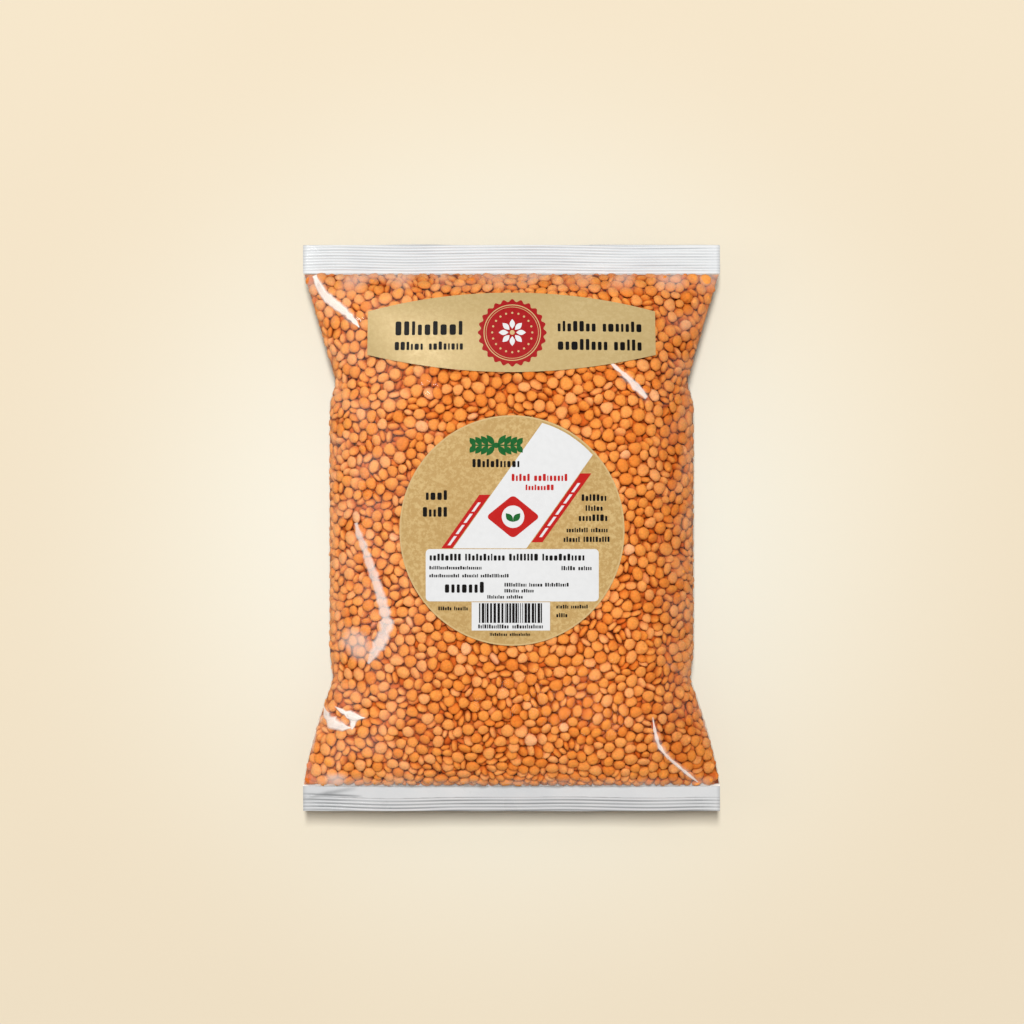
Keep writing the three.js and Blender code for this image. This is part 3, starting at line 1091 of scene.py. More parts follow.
    def hold_in(self, press: float) -> None:
        """Keep the lentils inside the film and press them outwards.

        Args:
            press: How far one step moves a lentil towards the film.
        """
        depths = []
        thick = self.flatness * self.radius
        for points, normals in self.film:
            depth = np.einsum("ij,ij->i", points - self.centre, normals) - self.film_gap
            beside = np.linalg.norm(points - self.centre, axis=1) < self.film_reach
            lean = np.einsum("ij,ij->i", self.axis, normals)
            reach = np.sqrt(self.radius**2 * (1 - lean**2) + thick**2 * lean**2)
            out = np.where(beside, np.clip(reach - depth, 0, 1), 0)
            self.centre -= normals * (out * self.film_push)[:, None]
            turn = out * self.righting * (self.radius**2 - thick**2) * lean / reach / self.radius
            self.axis += normals * turn[:, None]
            self.straighten()
            depths.append(np.where(beside, depth, np.inf))
        nearer = np.argmin(depths, axis=0)[:, None]
        self.point = np.where(nearer == 0, self.film[0][0], self.film[1][0])
        self.normal = np.where(nearer == 0, self.film[0][1], self.film[1][1])
        self.depth = np.minimum(*depths)
        pressed = np.where(self.depth > self.radius * 0.4, press, 0)
        outward = pressed + np.maximum(self.depth - self.wall, 0) * 0.5
        self.centre += self.normal * outward[:, None]

    def crowd(self, press: float) -> None:
        """Press the lentils near an end into its seal and its corners.

        Args:
            press: How far one step moves a lentil.
        """
        x, y = self.centre[:, 0], self.centre[:, 1]
        near = 1 - ease(self.form.to_seal(y), self.crowd_from, self.crowd_to)
        aside = ease(np.abs(x) / self.form.half_width(y), 0.4, 0.9)
        self.centre[:, 1] += np.sign(y - self.form.middle) * press * near
        self.centre[:, 0] += np.sign(x) * press * near * aside

    def settle(self) -> None:
        """Run the packing."""
        self.start()
        steps = self.steps
        for step in range(steps):
            if step % self.search_every == 0:
                self.find_film()
                self.find_pairs()
            calm = 1 - step / steps * self.calming
            self.push_apart(0.3)
            self.crowd(self.crowding * calm)
            self.hold_in(self.press * calm)
        for _ in range(self.last_steps):
            self.push_apart(0.25)
            self.hold_in(0.0)
        log.info("lentils packed, mean overlap %.3f mm", self.overlap)


@dataclass
class LentilBed:
    """The separate lentils that show through the film, in one mesh for each cut."""

    packing: Packing
    shapes: LentilShapes = field(default_factory=LentilShapes)
    deepest: float = 5.0
    shade_from: float = 0.55
    shade_full: float = 2.6
    full_shade: float = 0.7
    painted_light_left: float = 0.42
    painted_shade_right: float = 0.3
    seal_room: float = 1.0
    side_room: float = 0.8
    shrink: float = 0.985
    narrowest: float = 0.88
    seed: int = 71

    def turns(self, random: np.random.Generator) -> np.ndarray:
        """Give each lentil's turning and stretching, as a matrix.

        Args:
            random: The random draws.

        Returns:
            The matrices, in millimetres.
        """
        axis = self.packing.axis * np.where(random.random((self.packing.count, 1)) < 0.5, -1, 1)
        other = random.normal(0, 1, axis.shape)
        first = np.cross(axis, other)
        first /= np.linalg.norm(first, axis=1, keepdims=True)
        second = np.cross(axis, first)
        radius = self.packing.radius * self.shrink
        narrow = radius * random.uniform(self.narrowest, 1.0, len(radius))
        thick = radius * self.packing.flatness * random.uniform(0.94, 1.04, len(radius))
        return np.stack([first * radius[:, None], second * narrow[:, None], axis * thick[:, None]], axis=2)

    def build(self) -> list[bpy.types.Object]:
        """Build one piece for each cut.

        Returns:
            The pieces.
        """
        random = np.random.default_rng(self.seed)
        shapes, faces = self.shapes.make()
        turns = self.turns(random)
        form, x, y = self.packing.form, self.packing.centre[:, 0], self.packing.centre[:, 1]
        tones = random.beta(2.2, 2.2, self.packing.count)
        # Painted light and shade: lentils are made paler towards the left side and deeper in tone towards the
        # right.
        tones += self.painted_light_left * ease(-x, 20, 60) - self.painted_shade_right * ease(x, 40, 70)
        cuts = random.choice(len(Cut), self.packing.count, p=[cut.share for cut in Cut])
        variants = random.integers(0, len(shapes), self.packing.count)
        inside = (form.to_seal(y) > self.seal_room) & (form.half_width(y) - np.abs(x) > self.side_room)
        shown = inside & (self.packing.depth < self.deepest)
        pieces = []
        for number, cut in enumerate(Cut):
            chosen = np.flatnonzero(shown & (cuts == number))
            points = np.einsum("nij,nkj->nki", turns[chosen], shapes[variants[chosen]])
            points += self.packing.centre[chosen][:, None, :]
            under = self.packing.point[chosen][:, None, :] - points
            depths = np.einsum("nij,nj->ni", under, self.packing.normal[chosen])
            # Painted shade: points that lie deeper under the film get more of the finish's shadow colour.
            shades = self.full_shade * ease(depths, self.shade_from, self.shade_full)
            piece = self.join(f"lentils_{cut.name.lower()}", points, faces, cut.finish())
            self.carry(piece, "tone", np.repeat(tones[chosen], points.shape[1]))
            self.carry(piece, "shade", shades.reshape(-1))
            pieces.append(piece)
        return pieces

    @staticmethod
    def carry(piece: bpy.types.Object, name: str, values: np.ndarray) -> None:
        """Store a value at each of a piece's points.

        Args:
            piece: The piece.
            name: The value's name.
            values: The values, point by point.
        """
        layer = piece.data.attributes.new(name, "FLOAT", "POINT")
        layer.data.foreach_set("value", values.astype(np.float32))

    @staticmethod
    def join(name: str, points: np.ndarray, faces: list[list[int]], finish: LentilFinish) -> bpy.types.Object:
        """Join lentils into one mesh from arrays.

        Args:
            name: The piece's name.
            points: Points of every lentil, in millimetres.
            faces: The faces of one lentil.
            finish: The finish.

        Returns:
            The piece.
        """
        count, size = points.shape[:2]
        corners = np.concatenate(faces)
        sides = np.array([len(face) for face in faces])
        starts = np.cumsum(sides) - sides
        shift = np.arange(count)[:, None]
        mesh = bpy.data.meshes.new(name)
        mesh.vertices.add(count * size)
        mesh.loops.add(count * len(corners))
        mesh.polygons.add(count * len(faces))
        loops = corners[None, :] + shift * size
        firsts = starts[None, :] + shift * len(corners)
        mesh.vertices.foreach_set("co", (points * MM).reshape(-1).astype(np.float32))
        mesh.loops.foreach_set("vertex_index", loops.reshape(-1).astype(np.int32))
        mesh.polygons.foreach_set("loop_start", firsts.reshape(-1).astype(np.int32))
        mesh.update(calc_edges=True)
        mesh.shade_smooth()
        mesh.materials.append(finish.material())
        piece = bpy.data.objects.new(name, mesh)
        bpy.context.scene.collection.objects.link(piece)
        return piece


@dataclass
class FilmSkin:
    """The clear film, a closed skin that follows the form, with folds, pleats and fine ripples."""

    form: BagForm
    columns: int = 170
    rows: int = 250
    finish: FilmFinish = field(default_factory=FilmFinish)
    ripple_height: float = 0.22
    ripple_length: float = 13.0
    pleat_height: float = 0.3
    pleat_length: float = 5.5
    pleat_reach: float = 11.0
    lentil_relief: float = 0.07
    lentil_pitch: float = 4.6
    deepest_dip: float = 0.1
    calm_rise: float = 6.0
    calm_side: float = 5.0
    side_haze: float = 0.05
    end_haze: float = 0.18
    border_white: float = 0.75
    border_height: float = 0.9
    border_swing: float = 0.8
    border_soft: float = 0.4
    border_climb: float = 0.25
    most_white: float = 0.8
    smoke: float = 0.2
    folds: tuple[Fold, ...] = (
        Fold(((-78.5, 101.5), (-75.3, 93.9), (-71.0, 89.9), (-65.8, 86.2), (-60.0, 80.0)), 1.2, 2.6, 0.3),
        Fold(((82.0, 100.0), (76.0, 94.0)), 0.5, 0.8, 0.1),
        Fold(((36.5, 67.9), (45.0, 60.0), (53.2, 51.1)), 1.2, 1.9, 0.25),
        Fold(((-70.0, 58.0), (-50.0, 50.0)), 0.5, 2.0, 0.02),
        Fold(((70.0, 57.0), (54.0, 44.0)), 0.4, 2.0, 0.02),
        Fold(
            ((-61.4, 0.8), (-58.1, -7.4), (-54.3, -17.6), (-52.2, -24.2), (-49.7, -33.2), (-48.9, -39.5)),
            0.9,
            2.3,
            0.15,
        ),
        Fold(((-49.3, -33.0), (-48.9, -39.5), (-51.5, -44.5), (-56.0, -53.5)), 0.8, 3.2, 0.2),
        Fold(((-67.5, -41.5), (-55.0, -50.5)), 0.1, 7.0, 0.3),
        Fold(((-75.4, -71.6), (-70.5, -76.5), (-63.6, -79.2)), 1.3, 2.5, 0.2),
        Fold(((-70.2, -71.4), (-64.5, -74.2), (-58.0, -75.2)), 1.2, 1.9, 0.2),
        Fold(((-76.0, -73.5), (-79.6, -84.0), (-80.3, -90.0)), 0.2, 1.2, 0.35),
        Fold(((56.2, -75.5), (57.8, -85.4), (63.1, -91.9), (68.7, -96.7), (74.7, -101.9)), 1.0, 1.3, 0.25),
        Fold(((-75.0, -101.0), (-66.0, -101.5)), 0.1, 4.5, 0.4),
        Fold(((72.0, -62.0), (60.0, -52.0)), 0.8, 1.8, 0.08),
        Fold(((76.0, -70.0), (79.0, -84.0)), 0.9, 1.4, 0.3),
    )

    def folded(self, x: np.ndarray, y: np.ndarray) -> tuple[np.ndarray, np.ndarray]:
        """Find the folds' height and the white painted along their crests, as stress whitening and painted
        highlight.

        Args:
            x: Places across the bag.
            y: Places along the bag.

        Returns:
            The height over the smooth film, and how white the film is painted there.
        """
        height = np.zeros(np.shape(x))
        white = np.zeros(np.shape(x))
        wander = 0.5 * Ripple(9.0, 3).at(x, y)
        for fold in self.folds:
            off, share = fold.distance(x, y)
            off = off + wander
            taper = np.sin(np.clip(share, 0.02, 0.98) * math.pi) ** 0.6
            height = np.maximum(height, fold.height * taper * np.exp(-((off / fold.width) ** 2)))
            crest = np.exp(-((off / (fold.width * 0.65)) ** 4))
            # Painted highlight with some stress whitening: the fold's crest is turned white.
            white = np.maximum(white, fold.painted_crest * taper * crest)
        clear = ease(self.form.from_stickers(x, y), 0.5, 7.0)
        return height * clear, white * clear

    def hazy(self, x: np.ndarray, y: np.ndarray) -> np.ndarray:
        """Give the film's cloudiness: patches at its sides and ends, and a scalloped white border below.

        Args:
            x: Places across the bag.
            y: Places along the bag.

        Returns:
            How white the film is.
        """
        from_top, from_bottom = self.form.top_line - y, y - self.form.bottom_line
        # The left term is a milky wash that also paints the brighter left side of the bag, as painted light.
        sides = self.side_haze * (ease(x, 54, 72) * ease(y, -95, -60) + ease(-x, 20, 60))
        ends = self.end_haze * (2 - ease(from_top, 1, 10) - ease(from_bottom, 1, 5))
        patches = np.clip(0.5 + 0.5 * Ripple(14.0, 8).at(x, y), 0, 1)
        scallop = self.border_height + self.border_swing * Ripple(5.5, 51).at(x, np.zeros(np.shape(x)))
        rise = np.abs(self.form.level(x, y, Side.FRONT) - self.form.seal_level)
        climb = from_bottom + self.border_climb * rise
        border = self.border_white * (1 - ease(climb, scallop - self.border_soft, scallop + self.border_soft))
        return np.clip(np.maximum((sides + ends) * patches, border), 0, self.most_white)

    def painted_shade_at(self, x: np.ndarray, y: np.ndarray) -> np.ndarray:
        """Give the painted shade that dims what lies under the film, at its right side and its top end."""
        return self.smoke * np.maximum(ease(x, 42, 68), 1 - ease(self.form.top_line - y, 3, 13))

    def relief(self, x: np.ndarray, y: np.ndarray, side: Side) -> tuple[np.ndarray, np.ndarray]:
        """Find how the film departs from the smooth form.

        Args:
            x: Places across the bag.
            y: Places along the bag.
            side: Which half.

        Returns:
            The film's height over the form, and its whiteness from haze and painted crease highlights.
        """
        rise = np.abs(self.form.level(x, y, side) - self.form.seal_level)
        onset = np.minimum(rise / self.calm_rise, 1)
        across = np.minimum((self.form.half_width(y) - np.abs(x)) / self.calm_side, 1)
        lift = self.ripple_height * Ripple(self.ripple_length, 4 + side.value, stretch=1.4).at(x, y)
        lift += self.lentil_relief * Ripple(self.lentil_pitch, 14 + side.value, waves=40).at(x, y)
        pleats = Ripple(self.pleat_length, 24 + side.value, stretch=6.0).at(x, y)
        lift += self.pleat_height * pleats * np.exp(-self.form.to_seal(y) / self.pleat_reach)
        white = self.hazy(x, y)
        if side is Side.BACK:
            return np.maximum(lift, -self.deepest_dip) * onset * across, white
        clear = ease(self.form.from_stickers(x, y), 0.5, 5.0)
        height, crease = self.folded(x, y)
        lift = np.maximum(lift * clear, -self.deepest_dip) + height
        return lift * onset * across, np.maximum(white, crease)

    def build(self) -> bpy.types.Object:
        """Build the film as one closed piece.

        Returns:
            The piece.
        """
        bm = bmesh.new()
        haze, smoke = bm.verts.layers.float.new("haze"), bm.verts.layers.float.new("smoke")
        for side in Side:
            points, normals = self.form.surface(self.columns, self.rows, side)
            x, y = points[..., 0], points[..., 1]
            lift, white = self.relief(x, y, side)
            shade_values = self.painted_shade_at(x, y)
            points = points + normals * lift[..., None]
            points[..., 2] = np.maximum(points[..., 2], 0)
            made = fill_grid(bm, points, (haze, white), (smoke, shade_values))
            if side is Side.BACK:
                turn_over(bm, made)
        bmesh.ops.remove_doubles(bm, verts=bm.verts, dist=WELD * MM)
        bmesh.ops.recalc_face_normals(bm, faces=bm.faces)
        return mesh_object("clear_film", bm, self.finish.material())


@dataclass(frozen=True)
class Glint:
    """One crisp white crease, a painted highlight with some stress whitening: places along it with its half
    width there, and how white it is.
    """

    line: tuple[tuple[float, float, float], ...]
    white: float


@dataclass
class CreaseGlints:
    """The crisp white creases of the face, thin slivers just over the film that carry painted highlights and
    some stress whitening.
    """

    skin: FilmSkin
    step: int = 9
    soft: float = 0.5
    lift: float = 0.04
    thickness: float = 0.02
    wobble: float = 0.16
    wobble_length: float = 3.2
    finish: GlintFinish = field(default_factory=GlintFinish)
    glints: tuple[Glint, ...] = (
        Glint(
            (
                (-79.3, 101.6, 1.1),
                (-78.0, 98.6, 1.7),
                (-75.3, 93.9, 2.0),
                (-71.0, 89.9, 2.1),
                (-65.8, 86.0, 1.7),
                (-62.3, 82.3, 1.1),
                (-60.4, 79.8, 0.3),
            ),
            0.6,
        ),
        Glint(
            (
                (-61.6, 2.2, 0.8),
                (-60.6, -2.0, 1.7),
                (-58.1, -7.4, 1.8),
                (-54.3, -17.6, 2.0),
                (-52.2, -24.2, 2.1),
                (-50.0, -32.0, 2.3),
                (-48.9, -38.5, 3.1),
                (-51.0, -43.8, 3.2),
                (-53.6, -48.4, 2.7),
                (-56.6, -53.5, 0.6),
            ),
            0.3,
        ),
        Glint(
            (
                (-75.6, -71.2, 0.1),
                (-73.6, -75.2, 1.8),
                (-70.8, -78.0, 2.9),
                (-67.4, -79.0, 2.2),
                (-63.6, -79.4, 0.2),
            ),
            0.62,
        ),
        Glint(((-70.4, -71.2, 0.1), (-66.4, -73.2, 1.2), (-62.6, -74.8, 2.2), (-58.0, -75.2, 0.1)), 0.66),
        Glint(((-62.4, -74.4, 2.7), (-62.8, -76.9, 1.9), (-63.4, -80.2, 0.1)), 0.62),
        Glint(
            ((36.2, 68.2, 0.1), (40.4, 64.2, 0.8), (45.2, 59.6, 1.1), (50.4, 54.6, 1.7), (53.2, 51.4, 0.8)),
            0.4,
        ),
        Glint(
            (
                (56.0, -74.8, 0.1),
                (56.8, -80.6, 0.7),
                (58.2, -86.0, 0.8),
                (61.2, -90.2, 0.7),
                (66.4, -94.9, 0.6),
                (71.4, -99.0, 0.7),
                (75.0, -102.2, 0.2),
            ),
            0.42,
        ),
    )

    def lay(self, bm: bmesh.types.BMesh, haze: bmesh.types.BMLayerItem, glint: Glint) -> None:
        """Lay one glint on the film.

        Args:
            bm: The mesh to add it to.
            haze: The layer for how white the film is.
            glint: The glint.
        """
        line = np.array(glint.line)
        marks = np.arange(len(line))
        stations = np.linspace(0, len(line) - 1, (len(line) - 1) * self.step + 1)
        x, y, half = (np.interp(stations, marks, column) for column in line.T)
        for _ in range(self.step):
            for values in (x, y, half):
                values[1:-1] = values[1:-1] * 0.5 + (values[2:] + values[:-2]) * 0.25
        along = np.stack([np.gradient(x), np.gradient(y)], axis=1)
        along /= np.linalg.norm(along, axis=1, keepdims=True)
        sides = np.array([-1.0, self.soft - 1.0, 1.0 - self.soft, 1.0])[:, None]
        edge = Ripple(self.wobble_length, 83).at(x, y)
        reach = half * (sides + self.wobble * edge * np.sign(sides))
        plan_x = x - along[:, 1] * reach
        plan_y = y + along[:, 0] * reach
        form = self.skin.form
        over = self.skin.relief(plan_x, plan_y, Side.FRONT)[0] + self.lift
        points = np.stack([plan_x, plan_y, form.level(plan_x, plan_y, Side.FRONT)], axis=-1)
        points += form.face_normal(plan_x, plan_y) * over[..., None]
        # Painted highlight with some stress whitening: the glint's middle columns carry its whiteness.
        white = np.where(np.abs(sides) < 1, glint.white, 0.0) * np.ones(len(x))
        fill_grid(bm, points, (haze, white))

    def build(self) -> bpy.types.Object:
        """Build all glints as one piece.

        Returns:
            The piece.
        """
        bm = bmesh.new()
        haze = bm.verts.layers.float.new("haze")
        for glint in self.glints:
            self.lay(bm, haze, glint)
        thicken(bm, self.thickness)
        return mesh_object("crease_glints", bm, self.finish.material())


@dataclass
class LentilCore:
    """The bulk of the lentils behind the outer ones, a lumpy closed form."""

    form: BagForm
    depth: float = 4.6
    edge_depth: float = 0.5
    tip_depth: float = 0.4
    edge_reach: float = 3.0
    seal_gap: float = 0.6
    lower_gap: float = 3.0
    half_sheet: float = 0.12
    lump: float = 0.45
    lump_size: float = 5.0
    columns: int = 60
    rows: int = 86
    finish: CoreFinish = field(default_factory=CoreFinish)

    def half(self, side: Side) -> np.ndarray:
        """Shape one half of the core, which nears the film at the edges and in the corners.

        Args:
            side: Which half.

        Returns:
            Its points, row by row.
        """
        form = self.form
        points, normals = form.surface(self.columns, self.rows, side)
        x, y = points[..., 0], points[..., 1]
        half_width, to_seal = form.half_width(y), form.to_seal(y)
        rim = self.tip_depth + (self.edge_depth - self.tip_depth) * ease(to_seal, 0, form.ear_length)
        inner = ease(np.minimum(half_width - np.abs(x), to_seal), 0, self.edge_reach)
        bumps = self.lump * Ripple(self.lump_size, 41 + side.value).at(x, y) * inner
        points = points - normals * (rim + (self.depth - rim) * inner + bumps)[..., None]
        points[..., 0] = np.clip(points[..., 0], rim - half_width, half_width - rim)
        corner = ease(np.abs(x) / half_width, 0.84, 0.96)
        low = self.lower_gap + (self.seal_gap - self.lower_gap) * corner
        points[..., 1] = np.clip(points[..., 1], form.bottom_line + low, form.top_line - self.seal_gap)
        level = np.maximum((points[..., 2] - form.seal_level) * side.value, self.half_sheet)
        level[[0, -1], :] = 0
        level[:, [0, -1]] = 0
        points[..., 2] = form.seal_level + level * side.value
        return points

    def build(self) -> bpy.types.Object:
        """Build the core.

        Returns:
            The piece.
        """
        bm = bmesh.new()
        for side in Side:
            made = fill_grid(bm, self.half(side))
            if side is Side.BACK:
                turn_over(bm, made)
        bmesh.ops.remove_doubles(bm, verts=bm.verts, dist=WELD * MM)
        bmesh.ops.recalc_face_normals(bm, faces=bm.faces)
        return mesh_object("lentil_core", bm, self.finish.material())


@dataclass
class SealedEnd:
    """A white ribbed heat seal, from a tongue inside the body out to the cut edge."""

    form: BagForm
    name: str
    top: bool
    ribs: int
    pitch: float
    finish: SealFinish
    tongue: float
    creases: tuple[Fold, ...] = ()
    contrast: float = 0.6
    contrast_swing: float = 0.3
    least_contrast: float = 0.25
    thickness: float = 0.5
    rib_height: float = 0.32
    rib_sway: float = 0.25
    ribs_from: float = 0.4
    plain_end: float = 0.1
    end_fade: float = 0.55
    sway: float = 0.7
    sway_length: float = 60.0
    buckle_height: float = 0.25
    buckle_length: float = 26.0
    tongue_inset: float = 0.8
    corner_cut: float = 0.85
    columns: int = 90
    rows: int = 110

    def plan(self) -> tuple[np.ndarray, np.ndarray, np.ndarray, np.ndarray]:
        """Lay the sheet out flat. Its tongue narrows with the body and is cut back in the corners.

        Returns:
            The places across and along the bag, half the width there, and how far out of the seal line.
        """
        outward = 1 if self.top else -1
        line = self.form.top_line if self.top else self.form.bottom_line
        length = abs(outward * self.form.height / 2 - line)
        run = np.linspace(-self.tongue, length, self.rows + 1)
        part, out = np.meshgrid(np.linspace(-1, 1, self.columns + 1), run)
        cut_back = out * (1 - self.corner_cut * ease(np.abs(part), 0.84, 0.96))
        out = np.where(out < 0, cut_back, out)
        y = line + outward * out
        inner = self.form.half_width(y) - self.tongue_inset * np.minimum(-out, 1)
        half = np.where(out < 0, inner, self.form.flat_width / 2)
        return part * half, y, half, out

    def build(self) -> bpy.types.Object:
        """Build the sealed end.

        Returns:
            The piece.
        """
        x, y, half, out = self.plan()
        wave = Ripple(self.sway_length, 17 if self.top else 19).at(x, np.zeros(x.shape))
        buckle = Ripple(self.buckle_length, 27 if self.top else 31, stretch=0.5)
        length = out[-1, 0]
        turn = (length - out + self.rib_sway * wave) / self.pitch
        ribbed = (turn < self.ribs) & (out > self.ribs_from)
        ridge = np.where(ribbed, 0.5 - 0.5 * np.cos(2 * math.pi * turn), 0)
        to_end = np.maximum(np.abs(x) / half - (1 - self.plain_end), 0) / self.plain_end
        fade = 1 - self.end_fade * to_end
        share = np.maximum(out, 0) / length
        z = self.form.seal_level + self.rib_height * ridge * fade
        z += (self.sway * wave + self.buckle_height * buckle.at(x, y)) * share
        strength = self.contrast + self.contrast_swing * buckle.at(x * 0.6, y * 6.0)
        # Painted shade: the grooves between the ribs are darkened, more strongly in some stretches of the
        # seal.
        dark = (1 - ridge) ** 3 * fade * np.clip(strength, self.least_contrast, 1) * ribbed
        for crease in self.creases:
            off, along = crease.distance(x, y)
            crest = np.exp(-((off / crease.width) ** 2)) * np.sin(along * math.pi) ** 0.5
            z += crease.height * crest
            # Painted shade: the creases' lines are darkened like the grooves.
            dark = np.maximum(dark, crease.painted_crest * crest)
        bm = bmesh.new()
        groove = bm.verts.layers.float.new("groove")
        made = fill_grid(bm, np.stack([x, y, z], axis=-1), (groove, dark))
        if not self.top:
            turn_over(bm, made)
        thicken(bm, self.thickness)
        return mesh_object(self.name, bm, self.finish.material())


def sealed_ends(form: BagForm) -> tuple[SealedEnd, SealedEnd]:
    """Describe both sealed ends. The lower one is painted darker, as shade, and creased at its left, with
    painted shade along its creases.

    Args:
        form: The form of the bag.

    Returns:
        The top end and the bottom end.
    """
    upper = SealFinish("upper_seal", tint(205, 207, 208), tint(194, 197, 200), tint(148, 151, 155))
    # Painted shade: the lower seal's colours are darker copies of the upper one's.
    lower = SealFinish("lower_seal", tint(187, 188, 189), tint(172, 175, 178), tint(108, 110, 112))
    creases = (
        Fold(((-84.5, -109.6), (-74.0, -106.6), (-62.0, -104.6)), 0.4, 0.8, 0.55),
        Fold(((-84.5, -107.2), (-60.0, -108.2)), -0.3, 0.45, 0.9),
    )
    return (
        SealedEnd(form, "top_seal", True, 9, 1.15, upper, 1.5),
        SealedEnd(form, "bottom_seal", False, 4, 1.35, lower, 3.8, creases, 0.85),
    )


@dataclass
class Draper:
    """Lays flat outlines on the bag's face as thin closed sheets."""

    form: BagForm
    cell: float = 2.5
    near: float = 1e-4

    def lay(
        self, name: str, bm: bmesh.types.BMesh, lift: float, thickness: float, material: bpy.types.Material
    ) -> bpy.types.Object:
        """Cut flat faces into cells, give them thickness and bend them over the face.

        Args:
            name: The piece's name.
            bm: Flat faces in plan, in millimetres.
            lift: The underside's height over the film.
            thickness: The sheet's thickness.
            material: Its finish.

        Returns:
            The piece.
        """
        for axis in (0, 1):
            places = [vert.co[axis] for vert in bm.verts]
            first, last = math.ceil(min(places) / self.cell), math.floor(max(places) / self.cell)
            for number in range(first, last + 1):
                spot, way = [0.0, 0.0, 0.0], [0.0, 0.0, 0.0]
                spot[axis], way[axis] = number * self.cell, 1.0
                everything = bm.verts[:] + bm.edges[:] + bm.faces[:]
                bmesh.ops.bisect_plane(bm, geom=everything, dist=self.near, plane_co=spot, plane_no=way)
        made = bmesh.ops.extrude_face_region(bm, geom=bm.faces[:], use_keep_orig=True)["geom"]
        upper = [item for item in made if isinstance(item, bmesh.types.BMVert)]
        bmesh.ops.translate(bm, verts=upper, vec=(0, 0, 1))
        bmesh.ops.remove_doubles(bm, verts=bm.verts, dist=self.near)
        bmesh.ops.recalc_face_normals(bm, faces=bm.faces)
        bm.verts.ensure_lookup_table()
        flat = np.array([vert.co[:] for vert in bm.verts])
        x, y = flat[:, 0], flat[:, 1]
        base = np.stack([x, y, self.form.level(x, y, Side.FRONT)], axis=1)
        bent = base + self.form.face_normal(x, y) * (lift + flat[:, 2] * thickness)[:, None]
        for vert, spot in zip(bm.verts, bent):
            vert.co = Vector(spot) * MM
        return mesh_object(name, bm, material, smooth=False)


Plan = Callable[[bmesh.types.BMesh], None]


def round_off(bm: bmesh.types.BMesh, verts: list[bmesh.types.BMVert], radius: float, steps: int) -> None:
    """Round the corners of a flat face.

    Args:
        bm: The bmesh.
        verts: The corners.
        radius: How far the rounding reaches from a corner.
        steps: How many edges round a corner.
    """
    bmesh.ops.bevel(
        bm,
        geom=verts,
        offset=radius,
        offset_type="OFFSET",
        affect="VERTICES",
        segments=steps,
        profile=0.5,
        material=-1,
    )


@dataclass(frozen=True)
class Bar:
    """A rectangle on the face, by its edges. A word's place is filled with a row of plain rounded blocks."""

    left: float
    right: float
    low: float
    high: float
    letter_width: float = 0.56
    letter_gap: float = 0.2
    tall_share: float = 0.4
    short_by: float = 0.24
    rounding: float = 0.28

    def block(self, bm: bmesh.types.BMesh, corner: float = 0.0, steps: int = 1) -> None:
        """Add the rectangle's flat face.

        Args:
            bm: The bmesh that it goes into.
            corner: The corners' radius, or 0 for sharp ones.
            steps: How many edges round a corner.
        """
        place = Matrix.Translation(((self.left + self.right) / 2, (self.low + self.high) / 2, 0))
        scale = Matrix.Diagonal((self.right - self.left, self.high - self.low, 1, 1))
        made = bmesh.ops.create_grid(bm, x_segments=1, y_segments=1, size=0.5, matrix=place @ scale)["verts"]
        if corner > 0:
            round_off(bm, made, corner, steps)

    def word(self, bm: bmesh.types.BMesh) -> None:
        """Fill the rectangle with a row of blocks of two heights.

        Args:
            bm: The bmesh that they go into.
        """
        height = self.high - self.low
        random = np.random.default_rng(int(abs(self.left * 31 + self.low * 17) * 10))
        count = max(round((self.right - self.left) / (height * self.letter_width)), 2)
        widths = random.uniform(0.75, 1.25, count)
        edges = self.left + np.concatenate([[0], np.cumsum(widths)]) / widths.sum() * (self.right - self.left)
        gap = height * self.letter_gap
        for first, last in zip(edges, edges[1:]):
            top = self.high - height * (0.0 if random.random() < self.tall_share else self.short_by)
            piece = Bar(float(first) + gap / 2, float(last) - gap / 2, self.low, top)
            piece.block(bm, min(piece.right - piece.left, height) * self.rounding, 2)


def bars(*rows: tuple[float, ...]) -> tuple[Bar, ...]:
    """Lay out word bars row by row.

    Args:
        rows: Each row's lower and upper edge, then the left and right edge of each of its bars.

    Returns:
        The bars.
    """
    return tuple(
        Bar(left, right, low, high)
        for low, high, *ends in rows
        for left, right in zip(ends[::2], ends[1::2])
    )


def disc(
    bm: bmesh.types.BMesh, x: float, y: float, radius: float, segments: int = 48
) -> list[bmesh.types.BMVert]:
    """Add a flat disc.

    Args:
        bm: The bmesh.
        x: Its middle across the bag.
        y: Its middle along the bag.
        radius: Its radius.
        segments: How many corners it has.

    Returns:
        Its rim.
    """
    place = Matrix.Translation((x, y, 0))
    made = bmesh.ops.create_circle(bm, cap_ends=True, segments=segments, radius=radius, matrix=place)
    return made["verts"]


def ring(bm: bmesh.types.BMesh, x: float, y: float, inner: float, outer: float, segments: int = 72) -> None:
    """Add a flat ring between two radii.

    Args:
        bm: The bmesh.
        x: Its middle across the bag.
        y: Its middle along the bag.
        inner: The inner radius.
        outer: The outer radius.
        segments: How many corners it has.
    """
    place = Matrix.Translation((x, y, 0))
    rims = [
        bmesh.ops.create_circle(bm, cap_ends=False, segments=segments, radius=radius, matrix=place)["verts"]
        for radius in (inner, outer)
    ]
    edges = {edge for rim in rims for vert in rim for edge in vert.link_edges}
    bmesh.ops.bridge_loops(bm, edges=list(edges))


